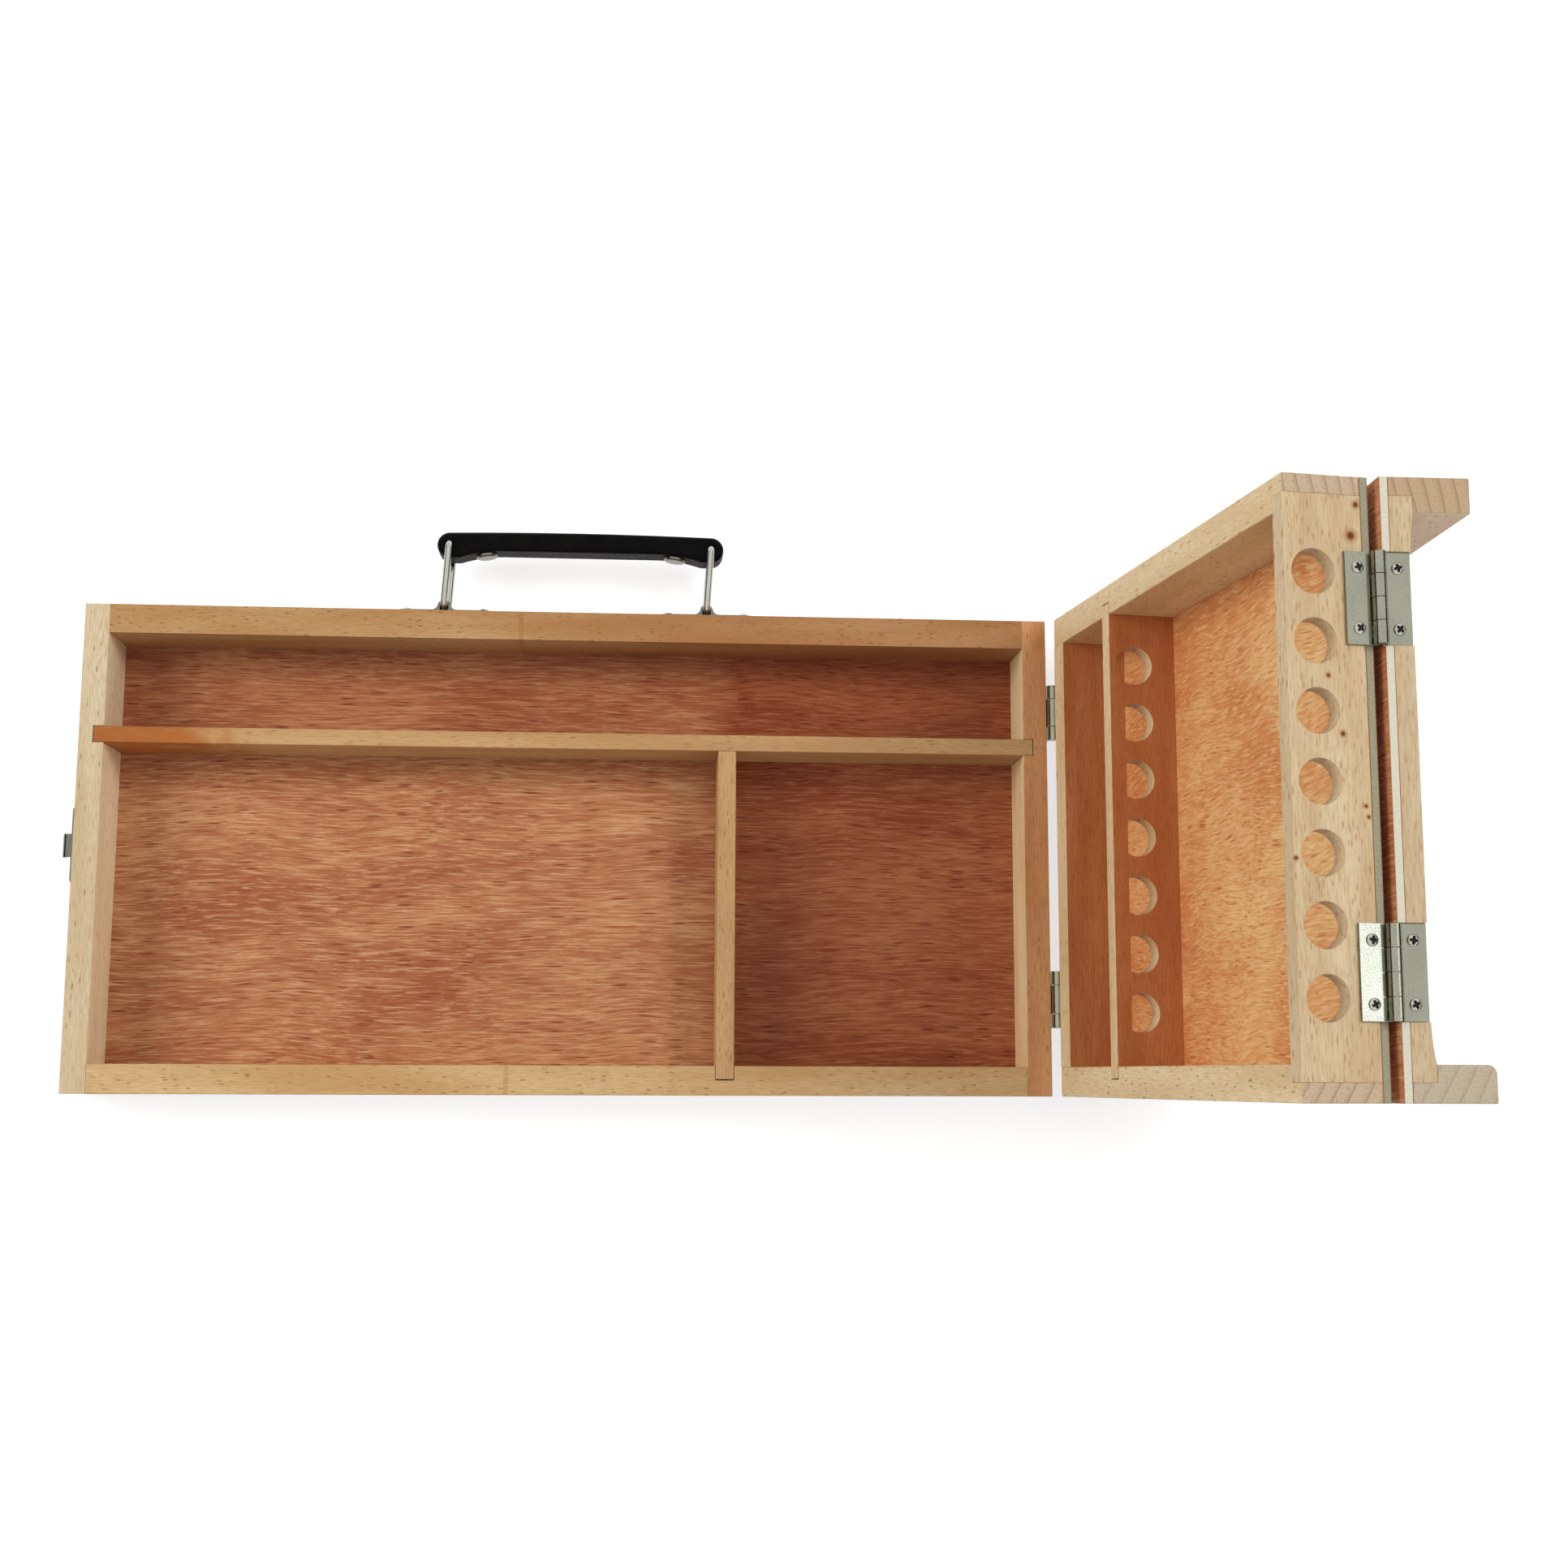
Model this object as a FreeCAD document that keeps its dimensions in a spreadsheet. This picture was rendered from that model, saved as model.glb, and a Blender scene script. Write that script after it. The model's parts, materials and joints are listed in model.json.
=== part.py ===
import FreeCAD, Part
import os
import Sketcher

# Wooden art supply box, lying open on its base.
# Three shallow beech trays with plywood backs: a main tray, a brush tray hinged to its end,
# and a cover tray hinged to the brush tray and folded back behind it.
# Row frame: millimetres, origin under the middle of the main tray, X along the box towards
# the lid hinges, Y towards the handle, Z up.

# Driving sizes, in millimetres and degrees: (alias, value).
SIZES = (
    # Whole box
    ("box_length", 400), ("box_width", 200), ("panel_thickness", 3),
    ("main_depth", 28), ("lid_depth", 27), ("end_wall", 10), ("long_wall", 12), ("rim_gap", 0.3),
    ("lid_open_angle", 98), ("cover_open_angle", 172),
    # Dividers of the main tray and their housings
    ("long_divider_place", 45.5), ("long_divider_thickness", 6.8), ("long_divider_housing", 4.5),
    ("cross_divider_place", 65.1), ("cross_divider_thickness", 7.5), ("cross_divider_housing", 5.8),
    ("slot_play", 0.1), ("slot_end_gap", 0.4),
    # Brush tray
    ("brush_length", 215), ("hinge_wall", 11), ("brush_end_wall", 7), ("rabbet_depth", 5.5),
    ("brush_divider_place", 59.7), ("brush_divider_thickness", 7.2), ("brush_divider_housing", 4.9),
    ("brush_hole_diameter", 15), ("brush_hole_pitch", 22.6), ("brush_hole_count", 7),
    ("brush_hole_depth", 10),
    # Cover tray
    ("rail_thickness", 8), ("rail_height", 6.6), ("rail_end_height", 7.9), ("rail_flare", 13),
    ("rail_mortise", 2), ("latch_wall", 10), ("cover_edge_radius", 3), ("fold_gap", 2.8),
    # Butt hinges
    ("knuckle_radius", 2.4), ("leaf_thickness", 1.1), ("leaf_set", 2.7), ("hinge_pin_radius", 1.2),
    ("pin_play", 0.06), ("knuckle_gap", 0.25), ("knuckle_clearance", 0.3), ("mortise_play", 0.15),
    ("lid_hinge_length", 23.5), ("lid_hinge_inset", 39.7), ("lid_leaf_width", 11), ("lid_screw_spread", 7.2),
    ("cover_hinge_length", 30.5), ("cover_hinge_inset", 40.4), ("cover_leaf_width", 10.9),
    ("cover_screw_spread", 10), ("leaf_screw_row", 6.6),
    # Wood screws of the hinges and the latch
    ("screw_head_radius", 2), ("screw_head_height", 1.1), ("screw_head_bevel", 0.7),
    ("screw_shank_radius", 1.1), ("screw_length", 6), ("screw_play", 0.15), ("pilot_play", 0.05),
    ("pilot_end_gap", 0.5),
    # Carrying handle
    ("handle_offset", 1), ("handle_drop", 10), ("bail_spread", 110), ("bail_length", 26.8),
    ("bail_wire_radius", 1.5), ("bail_bend_radius", 2.4), ("bail_lean", 3.5), ("bail_bar_height", 2.6),
    ("bail_play", 0.2), ("bail_side_gap", 0.6),
    ("saddle_length", 42), ("saddle_width", 14), ("saddle_thickness", 1), ("saddle_flare", 2.6),
    ("saddle_corner", 5), ("saddle_screw_spread", 16), ("saddle_head_radius", 2.7), ("saddle_head_height", 2),
    ("saddle_head_bevel", 1.3), ("saddle_shank_radius", 1.4), ("saddle_screw_length", 9),
    ("grip_roll_radius", 5.4), ("grip_crown", 0.75), ("grip_arch", 2.3), ("grip_ramp", 19),
    ("grip_roll_land", 4), ("grip_edge", 2.4),
    ("rivet_inset", 15.2), ("rivet_radius", 4.7), ("rivet_height", 1.3), ("rivet_round", 1),
    ("rivet_shank_radius", 1.5), ("rivet_depth", 4), ("rivet_seat", 0.25),
    # Toggle latch and its keeper
    ("latch_width", 31), ("latch_sheet", 0.85), ("latch_corner", 2), ("keeper_top", 1), ("keeper_height", 14),
    ("keeper_screw_depth", 9), ("latch_screw_spread", 11.5),
    ("hook_width", 9.6), ("hook_depth", 7), ("hook_lip", 2), ("hook_sheet", 0.9),
    ("latch_plate_low", 3), ("latch_plate_height", 16), ("latch_screw_height", 12),
    ("lever_pivot_height", 7), ("lever_pivot_out", 4.3), ("lever_throw", 4.3), ("lever_overcentre", 1),
    ("lever_width", 11), ("lever_sheet", 1), ("lever_rise", 2.2), ("lever_heel", 1.2), ("lever_straight", 12),
    ("lever_length", 18), ("lever_tip", 2.4), ("lever_eye_radius", 1.8), ("lever_pin_radius", 0.9),
    ("ear_place", 2.5), ("ear_sheet", 1), ("lever_hang", 88),
    ("loop_wire_radius", 1), ("loop_width", 14), ("loop_bend_radius", 1.5), ("loop_play", 0.4),
    ("loop_pivot_play", 0.15), ("loop_swing", 1.9),
)

# Places that follow from the driving sizes: (alias, formula).
PLACES = (
    ("half_length", "sizes.box_length / 2"),
    ("half_width", "sizes.box_width / 2"),
    ("inner_width", "half_width - sizes.long_wall"),
    ("rim", "sizes.panel_thickness + sizes.main_depth"),
    ("lid_hinge_place", "half_width - sizes.lid_hinge_inset"),
    ("cover_hinge_place", "half_width - sizes.cover_hinge_inset"),
    ("lid_axis_x", "half_length + sizes.leaf_set"),
    ("lid_axis_z", "rim + sizes.rim_gap / 2"),
    # Lid frame: origin on the lid hinge axis, X towards the hinge end of the shut box
    ("lid_rim", "sizes.rim_gap / 2"),
    ("lid_back", "lid_rim + sizes.lid_depth"),
    ("lid_top", "lid_back + sizes.panel_thickness"),
    ("brush_start", "-sizes.leaf_set"),
    ("brush_end", "brush_start - sizes.brush_length"),
    ("brush_divider_x", "brush_start - sizes.brush_divider_place"),
    ("brush_hole_z", "lid_rim + sizes.brush_hole_depth"),
    ("first_hole_y", "-sizes.brush_hole_pitch * (sizes.brush_hole_count - 1) / 2"),
    ("cover_axis_x", "brush_end - sizes.leaf_set"),
    ("cover_axis_z", "lid_top + sizes.fold_gap / 2"),
    # Cover frame: origin on the cover hinge axis, turned as the shut box
    ("cover_start", "sizes.rail_mortise - sizes.leaf_set"),
    ("cover_end", "-half_length - lid_axis_x - cover_axis_x"),
    ("cover_top", "-sizes.fold_gap / 2"),
    ("cover_back", "cover_top - sizes.panel_thickness"),
    ("cover_rim", "cover_back - sizes.lid_depth"),
    # Handle
    ("handle_y", "half_width + sizes.bail_bar_height"),
    ("handle_z", "rim - sizes.handle_drop"),
    ("bail_half", "sizes.bail_spread / 2"),
    ("bail_half_width", "sizes.saddle_width / 2 + sizes.bail_side_gap + sizes.bail_wire_radius"),
    ("grip_x", "sizes.handle_offset + sizes.bail_length * sin(sizes.bail_lean)"),
    ("grip_y", "handle_y + sizes.bail_length * cos(sizes.bail_lean)"),
    ("bail_hole", "sizes.bail_wire_radius + sizes.bail_play"),
    ("saddle_bump", "bail_hole + sizes.saddle_thickness"),
    ("flare_rise", "sizes.saddle_thickness + sizes.saddle_flare - sizes.bail_bar_height"),
    ("flare_x", "sqrt((saddle_bump + sizes.saddle_flare) ^ 2 - flare_rise ^ 2)"),
    ("blend_x", "flare_x * saddle_bump / (saddle_bump + sizes.saddle_flare)"),
    ("blend_y", "sizes.bail_bar_height + flare_rise * saddle_bump / (saddle_bump + sizes.saddle_flare)"),
    ("grip_width", "2 * (bail_half_width - sizes.bail_wire_radius - sizes.bail_side_gap)"),
    # Outer side of the grip: one shallow arc that runs into both rolled ends
    ("crown_centre", "(sizes.grip_crown ^ 2 - bail_half ^ 2) / (2 * sizes.grip_crown)"),
    ("crown_radius", "sizes.grip_roll_radius + sizes.grip_crown - crown_centre"),
    ("crown_reach", "crown_radius / (crown_radius - sizes.grip_roll_radius)"),
    ("crown_end_x", "bail_half * crown_reach"),
    ("crown_end_y", "crown_centre * (1 - crown_reach)"),
    ("ramp_drop", "sizes.grip_roll_radius - sizes.grip_arch"),
    ("ramp_radius", "(sizes.grip_ramp ^ 2 + ramp_drop ^ 2) / (2 * ramp_drop)"),
    ("ramp_end", "bail_half - sizes.grip_roll_land"),
    ("ramp_start", "ramp_end - sizes.grip_ramp"),
    ("rivet_x", "bail_half - sizes.rivet_inset"),
    ("rivet_tilt", "asin((rivet_x - ramp_start) / ramp_radius)"),
    ("rivet_y", "-sizes.grip_arch - ramp_radius * (1 - cos(rivet_tilt))"),
    # Latch, seen from the end of the shut box: out from the wall, up from the joint between the rims
    ("loop_out", "sizes.lever_pivot_out - sizes.lever_overcentre"),
    ("hook_inner", "sizes.loop_wire_radius + sizes.loop_play"),
    ("hook_outer", "hook_inner + sizes.hook_sheet"),
    ("lever_bend", "atan(sizes.lever_tip / (sizes.lever_length - sizes.lever_straight))"),
    ("loop_length", "sizes.lever_pivot_height + sizes.lever_throw + sizes.hook_depth + sizes.rim_gap"),
)

DOC = FreeCAD.newDocument("art_supply_box")
PIECES = []


def fill_sheet(name, rows, formulas):
    """Write one row per alias into a new spreadsheet; a formula row starts with an equals sign."""
    sheet = DOC.addObject("Spreadsheet::Sheet", name)
    for row, (alias, content) in enumerate(rows, start=1):
        sheet.set(f"A{row}", alias)
        sheet.set(f"B{row}", f"={content}" if formulas else str(content))
        sheet.setAlias(f"B{row}", alias)
        DOC.recompute()
    return sheet


SHEET = fill_sheet("sizes", SIZES, formulas=False)
fill_sheet("places", PLACES, formulas=True)


def value(expression):
    """Number that an expression gives with the present sizes."""
    return float(SHEET.evalExpression(str(expression)))


def frame(x=0, y=0, z=0, axis=(0, 1, 0), angle=0):
    """Expression of a placement: a point and a turn about an axis."""
    turn = f"rotation(vector({axis[0]}; {axis[1]}; {axis[2]}); {angle})"
    return f"placement(vector({x}; {y}; {z}); {turn})"


# The lid turns about the lid hinge axis, and the cover folds back about its own and hangs upright.
LID = frame("places.lid_axis_x", 0, "places.lid_axis_z", angle="sizes.lid_open_angle")
COVER = f"{LID} * {frame('places.cover_axis_x', 0, 'places.cover_axis_z', angle='sizes.cover_open_angle')}"


class Piece:
    """One sub-part: a body of sketched features whose every size is an expression."""

    def __init__(self, label, placement=None, several=False):
        """Start an empty body; several allows separate solids, as in a group of screws."""
        self.body = DOC.addObject("PartDesign::Body", label)
        self.body.Label = label
        self.body.AllowCompound = several
        if placement:
            self.body.setExpression("Placement", placement)
        DOC.recompute()
        PIECES.append(self.body)

    def sketch(self, plane, height):
        """Empty sketch on one of the body's own planes, raised along its normal or placed freely."""
        sketch = self.body.newObject("Sketcher::SketchObject", f"{self.body.Label}_sketch")
        support = [item for item in self.body.Origin.OriginFeatures if item.Role == f"{plane}_Plane"]
        sketch.AttachmentSupport = [(support[0], "")]
        sketch.MapMode = "FlatFace"
        whole = str(height).startswith("placement")
        sketch.setExpression("AttachmentOffset" if whole else "AttachmentOffset.Base.z", str(height))
        return sketch

    @staticmethod
    def fix(sketch, kind, item, expression):
        """Add one dimension to a sketch and bind it to an expression."""
        index = sketch.addConstraint(Sketcher.Constraint(kind, *item, value(expression)))
        sketch.setExpression(f"Constraints[{index}]", str(expression))

    def outline(self, plane, height, points):
        """Closed outline: (x, y) starts a line, (x, y, radius, turn) an arc, turn 1 going left."""
        sketch = self.sketch(plane, height)
        corners = [FreeCAD.Vector(value(point[0]), value(point[1]), 0) for point in points]
        ends = []
        for index, point in enumerate(points):
            start, stop = corners[index], corners[(index + 1) % len(points)]
            if len(point) == 2:
                sketch.addGeometry(Part.LineSegment(start, stop))
                ends.append((1, 2))
            else:
                sketch.addGeometry(arc(start, stop, value(point[2]), point[3]))
                ends.append((1, 2) if point[3] > 0 else (2, 1))
        for index, point in enumerate(points):
            following = (index + 1) % len(points)
            joint = (index, ends[index][1], following, ends[following][0])
            sketch.addConstraint(Sketcher.Constraint("Coincident", *joint))
            self.fix(sketch, "DistanceX", (-1, 1, index, ends[index][0]), point[0])
            self.fix(sketch, "DistanceY", (-1, 1, index, ends[index][0]), point[1])
            if len(point) > 2:
                self.fix(sketch, "Radius", (index,), point[2])
        return sketch

    def rectangle(self, plane, height, across, up):
        """Rectangle between two pairs of limits."""
        (left, right), (low, high) = across, up
        return self.outline(plane, height, [(left, low), (right, low), (right, high), (left, high)])

    def circles(self, plane, height, centres, radius):
        """Circles of one radius."""
        sketch = self.sketch(plane, height)
        for index, centre in enumerate(centres):
            middle = FreeCAD.Vector(value(centre[0]), value(centre[1]), 0)
            sketch.addGeometry(Part.Circle(middle, FreeCAD.Vector(0, 0, 1), value(radius)))
            self.fix(sketch, "DistanceX", (-1, 1, index, 3), centre[0])
            self.fix(sketch, "DistanceY", (-1, 1, index, 3), centre[1])
            self.fix(sketch, "Radius", (index,), radius)
        return sketch

    def feature(self, kind, sketch, length, both, back):
        """Pad or pocket of a sketch: a length, or through everything where length is None."""
        DOC.recompute()
        made = self.body.newObject(f"PartDesign::{kind}", f"{self.body.Label}_{kind.lower()}")
        made.Profile = sketch
        made.SideType = "Symmetric" if both else "One side"
        made.Reversed = back
        if length is None:
            made.Type = "ThroughAll"
        else:
            made.setExpression("Length", str(length))
        DOC.recompute()
        return made

    def pad(self, sketch, length, both=False, back=False):
        """Add material along the sketch's normal, to both sides, or backwards."""
        return self.feature("Pad", sketch, length, both, back)

    def pocket(self, sketch, length=None, back=False):
        """Cut material below the sketch, above it where back is set, or right through."""
        before = self.body.Shape.Volume
        made = self.feature("Pocket", sketch, length, length is None, back)
        if self.body.Shape.Volume >= before:
            raise RuntimeError(f"{made.Label} cuts nothing")
        return made

    def ease(self, kind, size, wanted):
        """Fillet or chamfer of the present solid's edges that a test picks."""
        base = self.body.Tip
        edges = [f"Edge{number}" for number, edge in enumerate(base.Shape.Edges, start=1) if wanted(edge)]
        made = self.body.newObject(f"PartDesign::{kind}", f"{self.body.Label}_{kind.lower()}")
        made.Base = (base, edges)
        made.setExpression("Radius" if kind == "Fillet" else "Size", str(size))
        DOC.recompute()
        return made

    def fillet(self, radius, wanted):
        """Round the edges that a test picks."""
        return self.ease("Fillet", radius, wanted)

    def chamfer(self, size, wanted):
        """Bevel the edges that a test picks."""
        return self.ease("Chamfer", size, wanted)

    def row(self, feature, axis, pitch, count):
        """Repeat a feature along one of the body's axes."""
        made = self.body.newObject("PartDesign::LinearPattern", f"{self.body.Label}_row")
        made.Originals = [feature]
        line = [item for item in self.body.Origin.OriginFeatures if item.Role == f"{axis}_Axis"]
        made.Direction = (line[0], [""])
        made.setExpression("Length", f"{pitch} * ({count} - 1)")
        made.setExpression("Occurrences", count)
        self.body.Tip = made
        DOC.recompute()
        return made

    def wire(self, plane, height, points, section_plane, section_height, centre, radius):
        """Round wire bent along a closed outline; the section crosses the outline's first line."""
        path = self.outline(plane, height, points)
        section = self.circles(section_plane, section_height, [centre], radius)
        DOC.recompute()
        made = self.body.newObject("PartDesign::AdditivePipe", f"{self.body.Label}_wire")
        made.Profile = section
        made.Spine = (path, [f"Edge{number}" for number in range(1, len(points) + 1)])
        DOC.recompute()
        return made


def arc(start, stop, radius, turn):
    """Sketch arc of under half a turn from start to stop; turn 1 goes left."""
    chord = stop - start
    half = chord.Length / 2
    side = FreeCAD.Vector(-chord.y, chord.x, 0).normalize() * turn
    centre = start + chord / 2 + side * (radius * radius - half * half) ** 0.5
    circle = Part.Circle(centre, FreeCAD.Vector(0, 0, 1), radius)
    first, last = (start, stop) if turn > 0 else (stop, start)
    return Part.ArcOfCircle(circle, circle.parameter(first), circle.parameter(last))


def board(label, placement, x, y, z):
    """Plain board between three pairs of limits."""
    piece = Piece(label, placement)
    piece.pad(piece.rectangle("XY", z[0], x, y), f"{z[1]} - ({z[0]})")
    return piece


def drill(piece, plane, height, centres, depth, radius, back=False):
    """Pilot holes for screws, from a face into the wood."""
    piece.pocket(piece.circles(plane, height, centres, f"{radius} + sizes.pilot_play"), depth, back)


def mirrored(place, spread=None):
    """Places on both sides of the middle, each a single one or a pair about it."""
    offsets = ("",) if spread is None else (f" - {spread}", f" + {spread}")
    return [f"{side} * {place}{offset}" for side in (-1, 1) for offset in offsets]


SCREW_DEPTH = "sizes.screw_length - sizes.leaf_thickness + sizes.pilot_end_gap"
LID_SCREWS = mirrored("places.lid_hinge_place", "sizes.lid_screw_spread")
COVER_SCREWS = mirrored("places.cover_hinge_place", "sizes.cover_screw_spread")
SADDLE_SCREWS = [
    f"sizes.handle_offset + {side} * places.bail_half {way} sizes.saddle_screw_spread"
    for side in (-1, 1) for way in "-+"
]
LATCH_SCREWS = mirrored("sizes.latch_screw_spread")


def main_tray():
    """Plywood base, four walls butted at the corners, and two dividers housed in them."""
    base = ("0", "sizes.panel_thickness")
    tall = ("sizes.panel_thickness", "places.rim")
    length = ("-places.half_length", "places.half_length")
    width = ("-places.half_width", "places.half_width")
    between = ("sizes.end_wall - places.half_length", "places.half_length - sizes.end_wall")
    board("main_base_panel", None, length, width, base)

    slot = [
        f"sizes.long_divider_place {way} (sizes.long_divider_thickness / 2 + sizes.slot_play)" for way in "-+"
    ]
    slot_depth = "sizes.end_wall - sizes.long_divider_housing"
    left = board("main_latch_end", None, (length[0], between[0]), width, tall)
    left.pocket(left.rectangle("XY", "0", (f"{slot_depth} - places.half_length", between[0]), slot))
    keeper_holes = [(place, "places.rim - sizes.keeper_screw_depth") for place in LATCH_SCREWS]
    drill(left, "YZ", length[0], keeper_holes, SCREW_DEPTH, "sizes.screw_shank_radius", back=True)
    right = board("main_hinge_end", None, (between[1], length[1]), width, tall)
    right.pocket(right.rectangle("XY", "0", (between[1], f"places.half_length - ({slot_depth})"), slot))
    leaf_holes = [(place, "places.lid_axis_z - sizes.leaf_screw_row") for place in LID_SCREWS]
    drill(right, "YZ", length[1], leaf_holes, SCREW_DEPTH, "sizes.screw_shank_radius")

    far = board("main_handle_side", None, between, ("places.inner_width", width[1]), tall)
    saddle_holes = [(place, "places.handle_z") for place in SADDLE_SCREWS]
    saddle_depth, saddle_shank = "sizes.saddle_screw_length", "sizes.saddle_shank_radius"
    drill(far, "XZ", "-places.half_width", saddle_holes, saddle_depth, saddle_shank, back=True)
    near = board("main_near_side", None, between, (width[0], "-places.inner_width"), tall)
    half_slot = "(sizes.cross_divider_thickness / 2 + sizes.slot_play)"
    cross = [f"sizes.cross_divider_place {way} {half_slot}" for way in "-+"]
    housing = ("-places.inner_width - sizes.cross_divider_housing", "-places.inner_width")
    near.pocket(near.rectangle("XY", "0", cross, housing))

    reach = f"places.half_length - ({slot_depth}) - sizes.slot_end_gap"
    edges = [f"sizes.long_divider_place {way} sizes.long_divider_thickness / 2" for way in "-+"]
    board("long_divider", None, (f"-({reach})", reach), edges, tall)
    sides = [f"sizes.cross_divider_place {way} sizes.cross_divider_thickness / 2" for way in "-+"]
    foot = "-places.inner_width - sizes.cross_divider_housing + sizes.slot_end_gap"
    board("cross_divider", None, sides, (foot, edges[0]), tall)


def holed_board(label, x, half_width):
    """Upright board of the brush tray with its row of brush holes."""
    piece = board(label, LID, x, (f"-({half_width})", half_width), ("places.lid_rim", "places.lid_back"))
    first = ("places.first_hole_y", "places.brush_hole_z")
    hole = piece.circles("YZ", x[0], [first], "sizes.brush_hole_diameter / 2")
    piece.row(piece.pocket(hole), "Y", "sizes.brush_hole_pitch", "sizes.brush_hole_count")
    return piece


def brush_tray():
    """Tray next to the lid hinges, with a divider and an end wall drilled for brush handles."""
    tall = ("places.lid_rim", "places.lid_back")
    length = ("places.brush_end", "places.brush_start")
    width = ("-places.half_width", "places.half_width")
    board("brush_back_panel", LID, length, width, ("places.lid_back", "places.lid_top"))

    hinge_wall = ("places.brush_start - sizes.hinge_wall", "places.brush_start")
    wall = board("brush_hinge_end", LID, hinge_wall, ("-places.inner_width", "places.inner_width"), tall)
    leaf_holes = [(place, "sizes.leaf_screw_row") for place in LID_SCREWS]
    drill(wall, "YZ", "places.brush_start", leaf_holes, SCREW_DEPTH, "sizes.screw_shank_radius")

    end_wall = ("places.brush_end", "places.brush_end + sizes.brush_end_wall")
    end = holed_board("brush_end_wall", end_wall, "places.inner_width + sizes.rabbet_depth")
    cover_holes = [(place, "places.cover_axis_z - sizes.leaf_screw_row") for place in COVER_SCREWS]
    drill(end, "YZ", "places.brush_end", cover_holes, SCREW_DEPTH, "sizes.screw_shank_radius", back=True)

    divider = [f"places.brush_divider_x {way} sizes.brush_divider_thickness / 2" for way in "-+"]
    divider_end = "places.inner_width + sizes.brush_divider_housing - sizes.slot_end_gap"
    holed_board("brush_divider", divider, divider_end)

    slot = [
        f"places.brush_divider_x {way} (sizes.brush_divider_thickness / 2 + sizes.slot_play)" for way in "-+"
    ]
    for label, side in (("brush_handle_side", "1"), ("brush_near_side", "-1")):
        inner, outer = f"{side} * places.inner_width", f"{side} * places.half_width"
        piece = board(label, LID, length, (inner, outer), tall)
        housing = (inner, f"{inner} + {side} * sizes.brush_divider_housing")
        piece.pocket(piece.rectangle("XY", "0", slot, housing))
        piece.pocket(piece.rectangle("XY", "0", end_wall, (inner, f"{inner} + {side} * sizes.rabbet_depth")))


def cover_tray():
    """Tray at the latch end, with a low scooped rail at its hinge end so that brushes pass over."""
    tall = ("places.cover_rim", "places.cover_back")
    length = ("places.cover_end", "places.cover_start")
    rail = ("places.cover_start - sizes.rail_thickness", "places.cover_start")
    half_mortise = "(sizes.cover_hinge_length / 2 + sizes.mortise_play)"
    mortises = [
        [f"{side} * places.cover_hinge_place {way} {half_mortise}" for way in "-+"] for side in (-1, 1)
    ]
    seat = ("-sizes.leaf_set", "places.cover_start")

    width = ("-places.half_width", "places.half_width")
    panel = board("cover_back_panel", COVER, length, width, ("places.cover_back", "places.cover_top"))
    for mortise in mortises:
        panel.pocket(panel.rectangle("XY", "0", seat, mortise))

    end = "places.inner_width + sizes.rabbet_depth"
    low = "places.cover_back - sizes.rail_height"
    high = "places.cover_back - sizes.rail_end_height"
    flare = "places.inner_width - sizes.rail_flare"
    rise = "(sizes.rail_end_height - sizes.rail_height)"
    scoop = f"(sizes.rail_flare ^ 2 + {rise} ^ 2) / (2 * {rise})"
    strip = Piece("cover_hinge_rail", COVER)
    profile = [
        (f"-({end})", "places.cover_back"), (f"-({end})", high), ("-places.inner_width", high, scoop, -1),
        (f"-({flare})", low), (flare, low, scoop, -1), ("places.inner_width", high), (end, high),
        (end, "places.cover_back"),
    ]
    strip.pad(strip.outline("YZ", "places.cover_start", profile), "sizes.rail_thickness", back=True)
    for mortise in mortises:
        cut = strip.rectangle("YZ", "places.cover_start", mortise, tall)
        strip.pocket(cut, "sizes.rail_mortise")
    holes = [(place, "-sizes.leaf_screw_row") for place in COVER_SCREWS]
    drill(strip, "YZ", "-sizes.leaf_set", holes, SCREW_DEPTH, "sizes.screw_shank_radius")

    far_end = ("places.cover_end", "places.cover_end + sizes.latch_wall")
    wall = board("cover_latch_end", COVER, far_end, ("-places.inner_width", "places.inner_width"), tall)
    plate_holes = [(place, "places.cover_rim + sizes.latch_screw_height") for place in LATCH_SCREWS]
    drill(wall, "YZ", "places.cover_end", plate_holes, SCREW_DEPTH, "sizes.screw_shank_radius", back=True)

    for label, side in (("cover_handle_side", "1"), ("cover_near_side", "-1")):
        inner, outer = f"{side} * places.inner_width", f"{side} * places.half_width"
        piece = board(label, COVER, length, (inner, outer), tall)
        rabbet = (inner, f"{inner} + {side} * sizes.rabbet_depth")
        notch = piece.rectangle("XY", "places.cover_back", rail, rabbet)
        piece.pocket(notch, "sizes.rail_end_height")
    rim, inside = value("places.cover_rim"), value("-places.inner_width")

    def rim_edge(edge):
        """Inner rim edge of the near side, in the cover frame."""
        low, high = edge.BoundBox.getPoint(0), edge.BoundBox.getPoint(6)
        return all(abs(point.z - rim) < 0.01 and abs(point.y - inside) < 0.01 for point in (low, high))

    piece.fillet("sizes.cover_edge_radius", rim_edge)


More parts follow.
